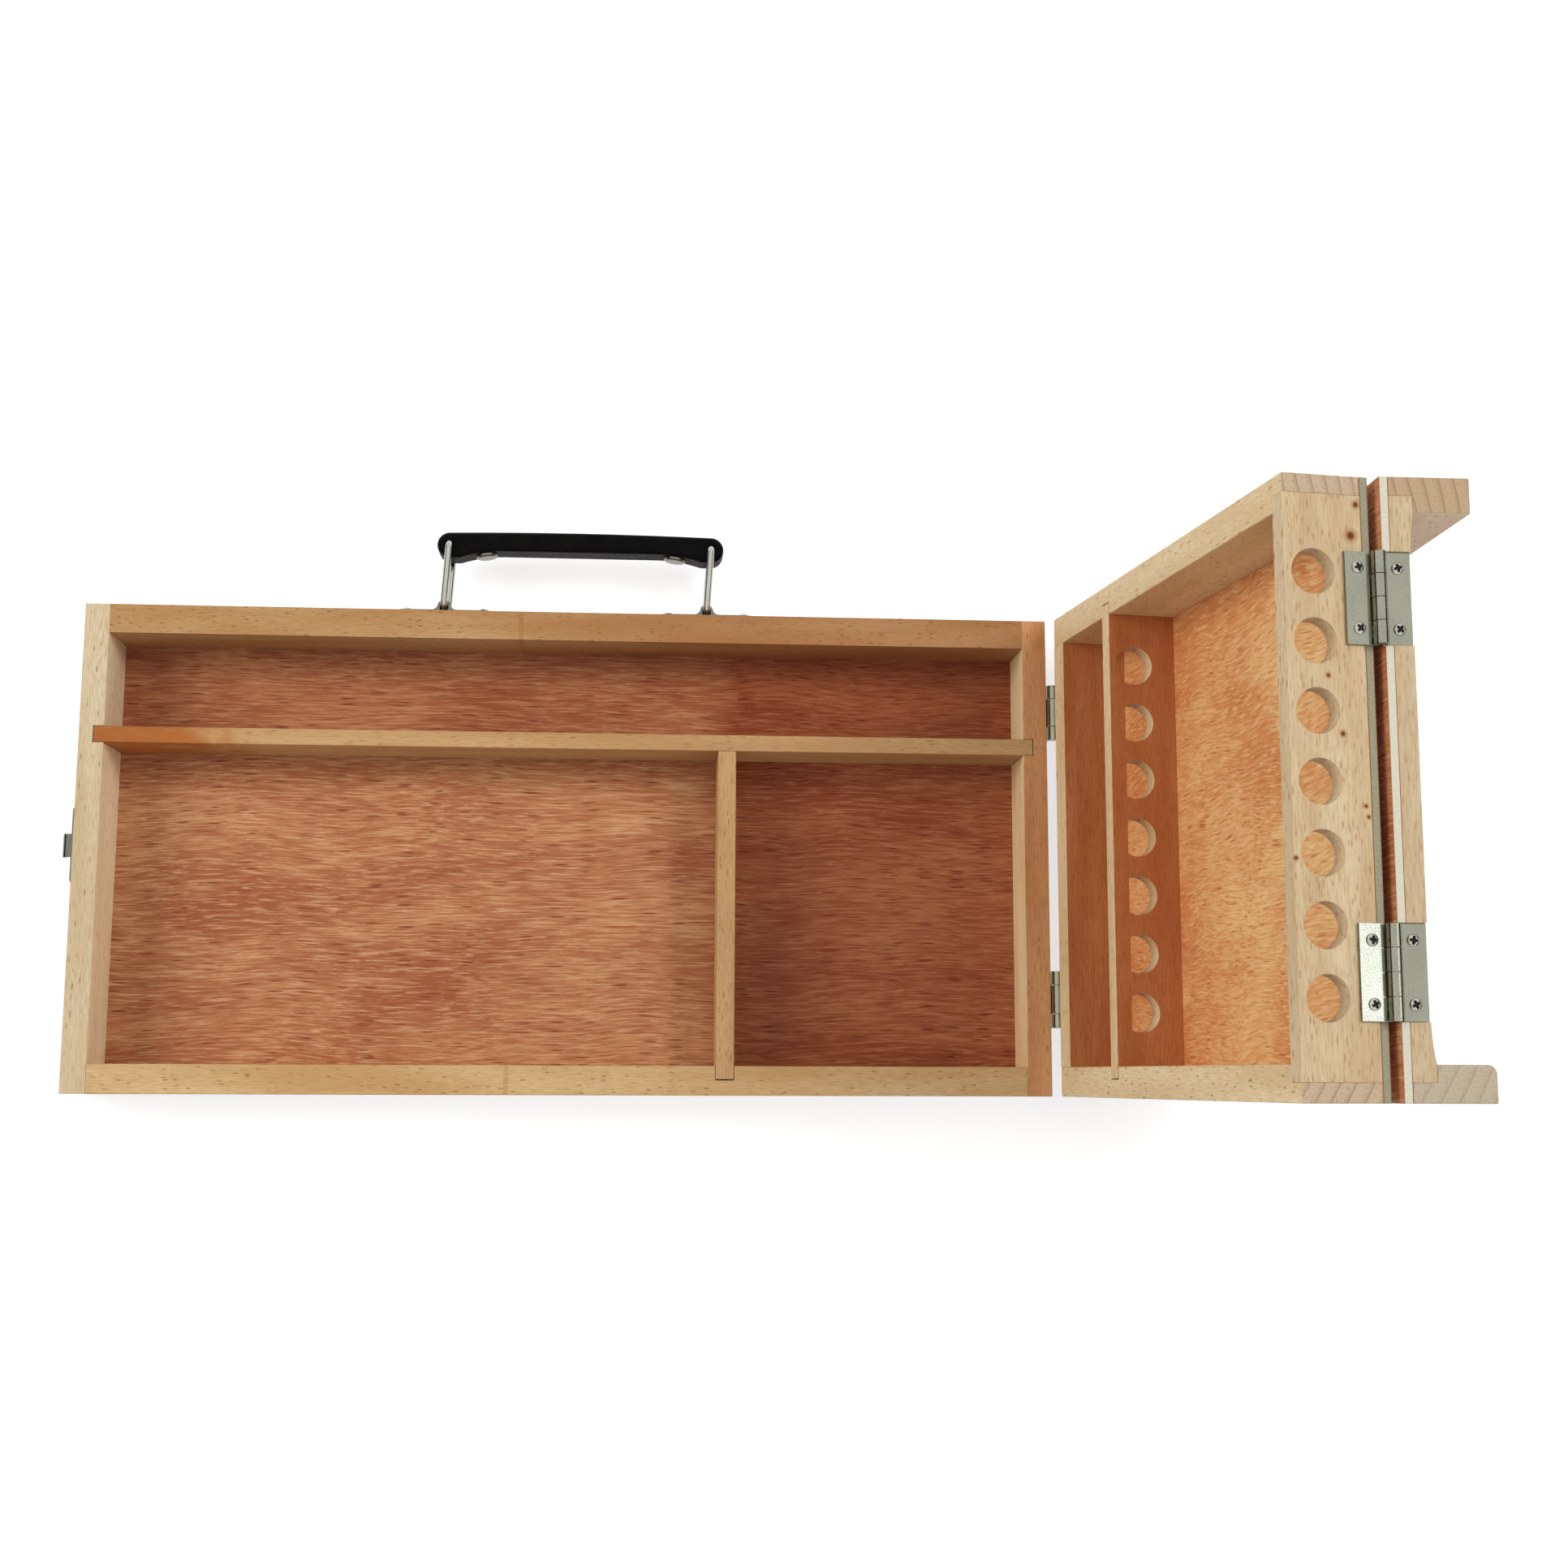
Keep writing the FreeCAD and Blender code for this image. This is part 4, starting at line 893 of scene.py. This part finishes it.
@dataclass
class CoverTray:
    """The second lid tray, folded back behind the first: back panel, rail and three walls."""

    wall: Beech = Beech()
    rail: Beech = Beech(pale="#D2BE9D", deep="#C3A984", fibre="#AF8B5D")
    end: BeechEnd = BeechEnd(pale="#BEA482", deep="#9C7C5F")
    near_end: BeechEnd = BeechEnd(pale="#BFB098", deep="#AA9A82", pore="#96856E")
    back: Veneer = Veneer(pale="#C88C5C", deep="#A8623A")
    back_edge: PlyEdge = PlyEdge(core="#DFDAC7", core_deep="#CBC6AE", face_mm=0.25)
    # Painted light: a paler copy of the wall finish for the far wall's inner face, standing in for the
    # light that bounces up onto it.
    ear_painted_light: Beech = Beech(pale="#F0E0C4", deep="#E6D0AE", fibre="#D2B48A")

    def build(self) -> list[Piece]:
        """Make the tray's boards and back.

        Returns:
            The pieces.
        """
        parts = [
            Panel("cover_back_panel", self.back, self.back_edge, cut_mm=(33, 52, 9)),
            Board("cover_hinge_rail", Way.WIDTH, self.rail, cut_mm=(5, -33, 21)),
            Board("cover_latch_end", Way.WIDTH, self.wall, cut_mm=(-17, 66, 40)),
            Board(
                "cover_handle_side", Way.LENGTH, self.wall, self.end, cut_mm=(44, 28, 11),
                painted_lighting=self.ear_painted_light, inner_side=(0.0, -1.0, 0.0),
            ),
            Board("cover_near_side", Way.LENGTH, self.wall, self.near_end, cut_mm=(-8, 50, 37)),
        ]
        return [part.build(Tray.COVER) for part in parts]


def lathe(profile: list[Pair], steps: int) -> Mesh:
    """Turn a profile about the Z axis.

    Args:
        profile: Points of the profile as distance from the axis and height, from axis to axis.
        steps: Sides of the turned shape.

    Returns:
        The closed shape.
    """
    work = bmesh.new()
    points = [work.verts.new((reach, 0.0, height)) for reach, height in profile]
    edges = [work.edges.new(pair) for pair in zip(points, points[1:])]
    bmesh.ops.spin(
        work,
        geom=points + edges,
        cent=(0, 0, 0),
        axis=(0, 0, 1),
        angle=math.tau,
        steps=steps,
        use_merge=True,
    )
    bmesh.ops.remove_doubles(work, verts=work.verts, dist=0.0005 * MM)
    bmesh.ops.recalc_face_normals(work, faces=work.faces)
    return work


def middle(points: list[Vector]) -> Vector:
    """Mean of some points."""
    return sum(points, Vector()) / len(points)


def islands(node: str) -> list[list[Vector]]:
    """Corner points of each separate solid of a node.

    Args:
        node: Name of the node.

    Returns:
        One list of points for each solid.
    """
    work = merged(node)
    left = dict.fromkeys(work.verts)
    found = []
    while left:
        reached = [left.popitem()[0]]
        for vert in reached:
            for edge in vert.link_edges:
                other = edge.other_vert(vert)
                if other in left:
                    del left[other]
                    reached.append(other)
        found.append([vert.co.copy() for vert in reached])
    work.free()
    # Whole millimetres keep the order the same on every run, where two solids are level.
    return sorted(found, key=lambda points: [round(part / MM) for part in middle(points)])


@dataclass
class Screw:
    """A domed wood screw with a cross recess."""

    head_mm: float = 2.0
    height_mm: float = 1.1
    shank_mm: float = 1.1
    shank_length_mm: float = 4.0
    brim_mm: float = 0.3
    reach_mm: float = 1.42
    slot_mm: float = 0.86
    depth_mm: float = 0.8
    tip_share: float = 0.35
    taper: float = 0.86
    sides: int = 28
    crown_steps: int = 5

    def mesh(self) -> Mesh:
        """Make the screw at the origin, with its head up and the head's underside at zero.

        Returns:
            The screw's mesh.
        """
        rise = self.height_mm - self.brim_mm
        crown = [
            (self.head_mm * math.sin(turn), self.brim_mm + rise * math.cos(turn))
            for turn in [math.pi / 2 * step / self.crown_steps for step in range(self.crown_steps + 1)]
        ]
        shank = [(self.head_mm, 0), (self.shank_mm, 0), (self.shank_mm, -self.shank_length_mm)]
        outline = crown + shank + [(0, -self.shank_length_mm)]
        work = lathe([(reach * MM, height * MM) for reach, height in outline], self.sides)
        self.recess(work)
        return work

    def recess(self, work: Mesh) -> None:
        """Sink the cross into the head.

        Args:
            work: The screw's mesh.
        """
        half, reach = self.slot_mm / 2 * MM, self.reach_mm * MM
        brim = (self.brim_mm + 0.01) * MM
        for side in (Vector((1, 0, 0)), Vector((0, 1, 0))):
            for cut in (-reach, -half, half, reach):
                top = [face for face in work.faces if face.calc_center_median().z > brim]
                edges = dict.fromkeys(edge for face in top for edge in face.edges)
                verts = dict.fromkeys(vert for face in top for vert in face.verts)
                bmesh.ops.bisect_plane(
                    work, geom=[*top, *edges, *verts], dist=1e-8, plane_co=side * cut, plane_no=side
                )
        arms = []
        for face in work.faces:
            spot = face.calc_center_median()
            near, far = sorted((abs(spot.x), abs(spot.y)))
            if spot.z > brim and near < half and far < reach:
                arms.append(face)
        outside = set(work.faces) - set(arms)
        sunk = bmesh.ops.extrude_face_region(work, geom=arms)["geom"]
        # The faces of the cross take the second material, which paints their shade.
        for face in set(work.faces) - outside:
            face.material_index = 1
        floor = [item for item in sunk if isinstance(item, bmesh.types.BMVert)]
        for vert in floor:
            inward = 1 - math.hypot(vert.co.x, vert.co.y) / reach
            share = self.tip_share + (1 - self.tip_share) * max(inward, 0)
            vert.co.z = (self.height_mm - self.depth_mm * share) * MM
            vert.co.x *= self.taper
            vert.co.y *= self.taper
        bmesh.ops.recalc_face_normals(work, faces=work.faces)


@dataclass
class Rivet:
    """A flat-domed rivet head."""

    head_mm: float = 4.7
    height_mm: float = 1.3
    shank_mm: float = 1.4
    shank_length_mm: float = 3.0
    sides: int = 40

    def mesh(self) -> Mesh:
        """Make the rivet at the origin, with its head up and the head's underside at zero.

        Returns:
            The rivet's mesh.
        """
        head, height = self.head_mm, self.height_mm
        outline = [
            (0, height),
            (0.45 * head, 0.985 * height),
            (0.74 * head, 0.93 * height),
            (0.86 * head, 0.84 * height),
            (0.94 * head, 0.66 * height),
            (0.985 * head, 0.4 * height),
            (head, 0.15 * height),
            (head, 0),
            (self.shank_mm, 0),
            (self.shank_mm, -self.shank_length_mm),
            (0, -self.shank_length_mm),
        ]
        return lathe([(reach * MM, rise * MM) for reach, rise in outline], self.sides)


def recess_finish() -> Material:
    """Painted shade: dark plating inside a screw's cross, standing in for the shade where the light hardly
    reaches.

    Returns:
        The material, made once.
    """
    name = "painted_shade_cross_recess"
    return bpy.data.materials.get(name) or RECESS_SHADE.material(name)


def fastened(
    node: str, fastener: Union[Screw, Rivet], outward: Vector, finish: Material, body: str
) -> Piece:
    """Put a detailed fastener in the place of each solid of a node.

    Args:
        node: Name of the node.
        fastener: What goes in each place.
        outward: The way the heads face, in the row frame.
        finish: The fasteners' finish.
        body: The body that they ride on.

    Returns:
        The piece.
    """
    joined = bmesh.new()
    upright = outward.to_track_quat("Z", "Y").to_matrix().to_4x4()
    for count, points in enumerate(islands(node)):
        top = max(point.dot(outward) for point in points)
        centre = middle(points)
        seat = centre + outward * (top - fastener.height_mm * MM - centre.dot(outward))
        spun = Matrix.Rotation(math.radians(HEAD_TURN_DEGREES + HEAD_STEP_DEGREES * count), 4, "Z")
        one = fastener.mesh()
        bmesh.ops.transform(one, matrix=Matrix.Translation(seat) @ upright @ spun, verts=one.verts)
        mesh = bpy.data.meshes.new("fastener")
        one.to_mesh(mesh)
        one.free()
        joined.from_mesh(mesh)
        bpy.data.meshes.remove(mesh)
    return piece(f"{node}_heads", joined, [finish, recess_finish()], body, node)


def fitting(node: str, finish: Material, body: str, ease_mm: float) -> Piece:
    """Make a pressed metal fitting with its edges eased.

    Args:
        node: Name of the node.
        finish: Its finish.
        body: The body that it rides on.
        ease_mm: Width of the eased edges.

    Returns:
        The piece.
    """
    work = merged(node)
    soften(work, ease_mm * MM)
    return piece(f"{node}_metal", work, [finish], body, node)


@dataclass
class Hinges:
    """The two butt hinges on one pair of trays: leaves, pins and screws."""

    prefix: str
    parent: Tray
    child: Tray
    parent_leaf: str
    child_leaf: str
    parent_out: Vector
    child_out: Vector
    plate: Plate = Plate()
    screw: Screw = field(default_factory=Screw)
    leaf_ease_mm: float = 0.14
    pin_ease_mm: float = 0.25

    def build(self) -> list[Piece]:
        """Make the hinges.

        Returns:
            The pieces.
        """
        leaf_finish = self.plate.material(f"nickel_plated_leaf_{self.prefix}")
        bright = SCREW_HEAD.material(f"nickel_plated_screw_{self.prefix}")
        leaves = (
            (self.parent_leaf, self.parent, self.parent_out),
            (self.child_leaf, self.child, self.child_out),
        )
        made = []
        for side in ("near", "far"):
            stem = f"{self.prefix}_{side}"
            for leaf, tray, _ in leaves:
                made.append(fitting(f"{stem}_{leaf}_leaf", leaf_finish, tray.body, self.leaf_ease_mm))
            made.append(fitting(f"{stem}_pin", leaf_finish, self.parent.body, self.pin_ease_mm))
        for leaf, tray, out in leaves:
            made.append(fastened(f"{self.prefix}_{leaf}_screws", self.screw, out, bright, tray.body))
        return made


@dataclass
class Handle:
    """The carrying handle: saddles, wire bails, and the leather grip with its rivets."""

    rivet_tilt: float = 7.5
    saddle_screw: Screw = field(
        default_factory=lambda: Screw(
            head_mm=2.7, height_mm=2.0, shank_mm=1.4, shank_length_mm=6.0,
            reach_mm=1.9, slot_mm=1.0, depth_mm=1.2,
        )
    )
    rivet: Rivet = field(default_factory=Rivet)
    # Painted reflection: the saddles' plating is darker than the other plating, standing in for the dark
    # wood and room that it mirrors; the rivet heads share it.
    saddle: Plate = Plate(pale="#8B8B80", deep="#6C6C62")
    saddle_ease_mm: float = 0.2
    wire_ease_mm: float = 0.1
    grip_ease_mm: float = 0.3

    def build(self) -> list[Piece]:
        """Make the handle.

        Returns:
            The pieces.
        """
        plate = self.saddle.material("saddle_plating_painted_reflection")
        wire = WIRE.material("bright_nickel_wire")
        made = [
            fitting("handle_saddle_left", plate, "main_tray", self.saddle_ease_mm),
            fitting("handle_saddle_right", plate, "main_tray", self.saddle_ease_mm),
            fastened("handle_saddle_screws", self.saddle_screw, Vector((0, 1, 0)), wire, "main_tray"),
            fitting("handle_bail_left", wire, "left_bail", self.wire_ease_mm),
            fitting("handle_bail_right", wire, "right_bail", self.wire_ease_mm),
        ]
        tilt = math.radians(self.rivet_tilt)
        for side, sign in (("left", 1), ("right", -1)):
            out = Vector((sign * math.sin(tilt), -math.cos(tilt), 0))
            made.append(fastened(f"grip_rivet_{side}", self.rivet, out, plate, "grip"))
        leather = Leather().material("black_coated_leather")
        work = merged("handle_grip")
        soften(work, self.grip_ease_mm * MM)
        made.append(piece("handle_grip_leather", work, [leather], "grip", "handle_grip"))
        return made


@dataclass
class Latch:
    """The toggle latch: keeper on the main tray, and plate, lever and loop on the cover tray."""

    screw: Screw = field(default_factory=Screw)
    plate: Plate = Plate(pale="#85867B", deep="#6C6D63")
    plate_ease_mm: float = 0.15
    lever_ease_mm: float = 0.2
    wire_ease_mm: float = 0.1

    def build(self) -> list[Piece]:
        """Make the latch.

        Returns:
            The pieces.
        """
        plate = self.plate.material("nickel_plated_latch")
        wire = WIRE.material("bright_nickel_loop")
        down = Tray.COVER.turn @ Vector((-1, 0, 0))
        return [
            fitting("latch_keeper", plate, "main_tray", self.plate_ease_mm),
            fastened("latch_keeper_screws", self.screw, Vector((-1, 0, 0)), wire, "main_tray"),
            fitting("latch_plate", plate, "cover_tray", self.plate_ease_mm),
            fastened("latch_plate_screws", self.screw, down, wire, "cover_tray"),
            fitting("latch_lever_pin", wire, "cover_tray", self.lever_ease_mm),
            fitting("latch_lever", plate, "latch_lever", self.lever_ease_mm),
            fitting("latch_loop", wire, "latch_loop", self.wire_ease_mm),
        ]


def seen_ray(tree: Nodes) -> Socket:
    """Tell the rays that see a backdrop, straight or in a mirror or glass, from those that light.

    Args:
        tree: The material's or the world's nodes.

    Returns:
        One for a ray that sees, and nought for any other.
    """
    path = add(tree, "LightPath", {})
    kinds = {0: path["Is Camera Ray"], 1: path["Is Glossy Ray"]}
    seen = add(tree, "Math", kinds, operation="MAXIMUM")[0]
    kinds = {0: seen, 1: path["Is Transmission Ray"]}
    return add(tree, "Math", kinds, operation="MAXIMUM")[0]


@dataclass(frozen=True)
class Lamp:
    """A square softbox that points at the box, and whether bright metal mirrors it."""

    place: Triple
    size: float
    watts: float
    mirrored: bool
    tone: str = "#FFFFFF"


@dataclass(frozen=True)
class Flag:
    """An upright black card beside the box, which only bright metal mirrors."""

    place: Triple
    width: float
    height: float


@dataclass
class Studio:
    """Camera, pale floor and soft light."""

    lens: float = 45.712
    sensor: float = 36.0
    camera_place: Triple = (0.032396, -0.092653, 0.850496)
    camera_turn: Triple = (0.14679, -0.06805, 0.01336)
    floor_size: float = 12.0
    floor_drop_mm: float = 0.05
    sky: float = 0.4
    lamps: tuple[Lamp, ...] = (
        Lamp((-1.5, 0.35, 1.2), 1.1, 22.0, False),
        Lamp((1.45, 0.75, 1.9), 0.9, 24.0, False),
        Lamp((1.16, 0.02, 1.445), 0.26, 0.55, True, "#E4E9FF"),
        Lamp((0.9, -1.6, 0.7), 0.8, 4.0, False),
    )
    flags: tuple[Flag, ...] = (
        Flag((-1.3, 0.0, 0.48), 2.6, 0.8),
        Flag((1.6, 0.0, 0.55), 2.6, 0.8),
    )
    glow: float = 0.68

    def build(self) -> None:
        """Set up the camera, the floor, the cards, the lamps and the sky."""
        bpy.context.scene.view_settings.view_transform = "Standard"
        self.camera()
        self.floor()
        self.cards()
        self.light()

    def camera(self) -> None:
        """Set the camera at the photograph's viewpoint."""
        eye = bpy.data.cameras.new("camera")
        eye.lens = self.lens
        eye.sensor_width = self.sensor
        stand = bpy.data.objects.new("camera", eye)
        stand.rotation_mode = "ZYX"
        stand.location = self.camera_place
        stand.rotation_euler = self.camera_turn
        bpy.context.scene.collection.objects.link(stand)
        bpy.context.scene.camera = stand

    def floor(self) -> None:
        """Lay a white floor that takes the box's shadow."""
        work = bmesh.new()
        bmesh.ops.create_grid(work, x_segments=1, y_segments=1, size=self.floor_size / 2)
        bmesh.ops.translate(work, vec=(0, 0, -self.floor_drop_mm * MM), verts=work.verts)
        mesh = bpy.data.meshes.new("floor")
        work.to_mesh(mesh)
        work.free()
        mesh.materials.append(self.paper())
        sheet = bpy.data.objects.new("floor", mesh)
        bpy.context.scene.collection.objects.link(sheet)

    def cards(self) -> None:
        """Stand the black cards up, seen by mirror rays alone, so that round metal gets dark lines."""
        material, tree, shader, _ = new_material("black_flock_card")
        looks = {"Base Color": linear("#0A0A0A"), "Roughness": 1.0, "Specular IOR Level": 0.0}
        feed(tree, shader, looks)
        for count, flag in enumerate(self.flags):
            work = bmesh.new()
            bmesh.ops.create_grid(work, x_segments=1, y_segments=1, size=0.5)
            bmesh.ops.scale(work, vec=(flag.height, flag.width, 1.0), verts=work.verts)
            upright = Matrix.Translation(flag.place) @ Matrix.Rotation(math.pi / 2, 4, "Y")
            bmesh.ops.transform(work, matrix=upright, verts=work.verts)
            mesh = bpy.data.meshes.new(f"card_{count}")
            work.to_mesh(mesh)
            work.free()
            mesh.materials.append(material)
            card = bpy.data.objects.new(mesh.name, mesh)
            card.visible_camera = False
            card.visible_diffuse = False
            card.visible_transmission = False
            card.visible_shadow = False
            bpy.context.scene.collection.objects.link(card)

    def paper(self) -> Material:
        """White backdrop paper: dull, and as bright to the eye as the sky above it.

        Returns:
            The material.
        """
        material, tree, shader, _ = new_material("white_backdrop_paper")
        glow = add(tree, "Math", {0: seen_ray(tree), 1: self.glow}, operation="MULTIPLY")[0]
        looks = {
            "Base Color": linear("#BCBCBC"),
            "Roughness": 0.9,
            "Specular IOR Level": 0.0,
            "Emission Color": linear("#FFFFFF"),
            "Emission Strength": glow,
        }
        feed(tree, shader, looks)
        return material

    def light(self) -> None:
        """Hang the lamps and light the sky."""
        for count, lamp in enumerate(self.lamps):
            light = bpy.data.lights.new(f"softbox_{count}", "AREA")
            light.size = lamp.size
            light.energy = lamp.watts
            light.color = linear(lamp.tone)[:3]
            stand = bpy.data.objects.new(light.name, light)
            stand.location = lamp.place
            stand.rotation_mode = "QUATERNION"
            stand.rotation_quaternion = (-Vector(lamp.place)).to_track_quat("-Z", "Y")
            stand.visible_glossy = lamp.mirrored
            bpy.context.scene.collection.objects.link(stand)
        world = bpy.data.worlds.new("sky")
        bpy.context.scene.world = world
        world.use_nodes = True
        tree = world.node_tree
        strength = add(tree, "MapRange", {"Value": seen_ray(tree), "To Min": self.sky, "To Max": 1.0})[0]
        feed(tree, tree.nodes["Background"], {"Color": linear("#FFFFFF"), "Strength": strength})


def main() -> None:
    """Build the box and the studio, and log each piece with the body that it rides on."""
    logging.basicConfig(level=logging.INFO, format="%(message)s")
    lid = Tray.BRUSH.turn @ Vector((1, 0, 0))
    cover = Tray.COVER.turn @ Vector((1, 0, 0))
    assemblies = [
        MainTray(),
        BrushTray(),
        CoverTray(),
        Hinges("lid_hinge", Tray.MAIN, Tray.BRUSH, "main", "lid", Vector((1, 0, 0)), lid),
        Hinges("cover_hinge", Tray.BRUSH, Tray.COVER, "brush", "cover", -lid, cover),
        Handle(),
        Latch(),
    ]
    for assembly in assemblies:
        for made in assembly.build():
            LOG.info("%s: %s on %s", type(assembly).__name__, made.name, made["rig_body"])
    Studio().build()


if __name__ == "__main__":
    main()
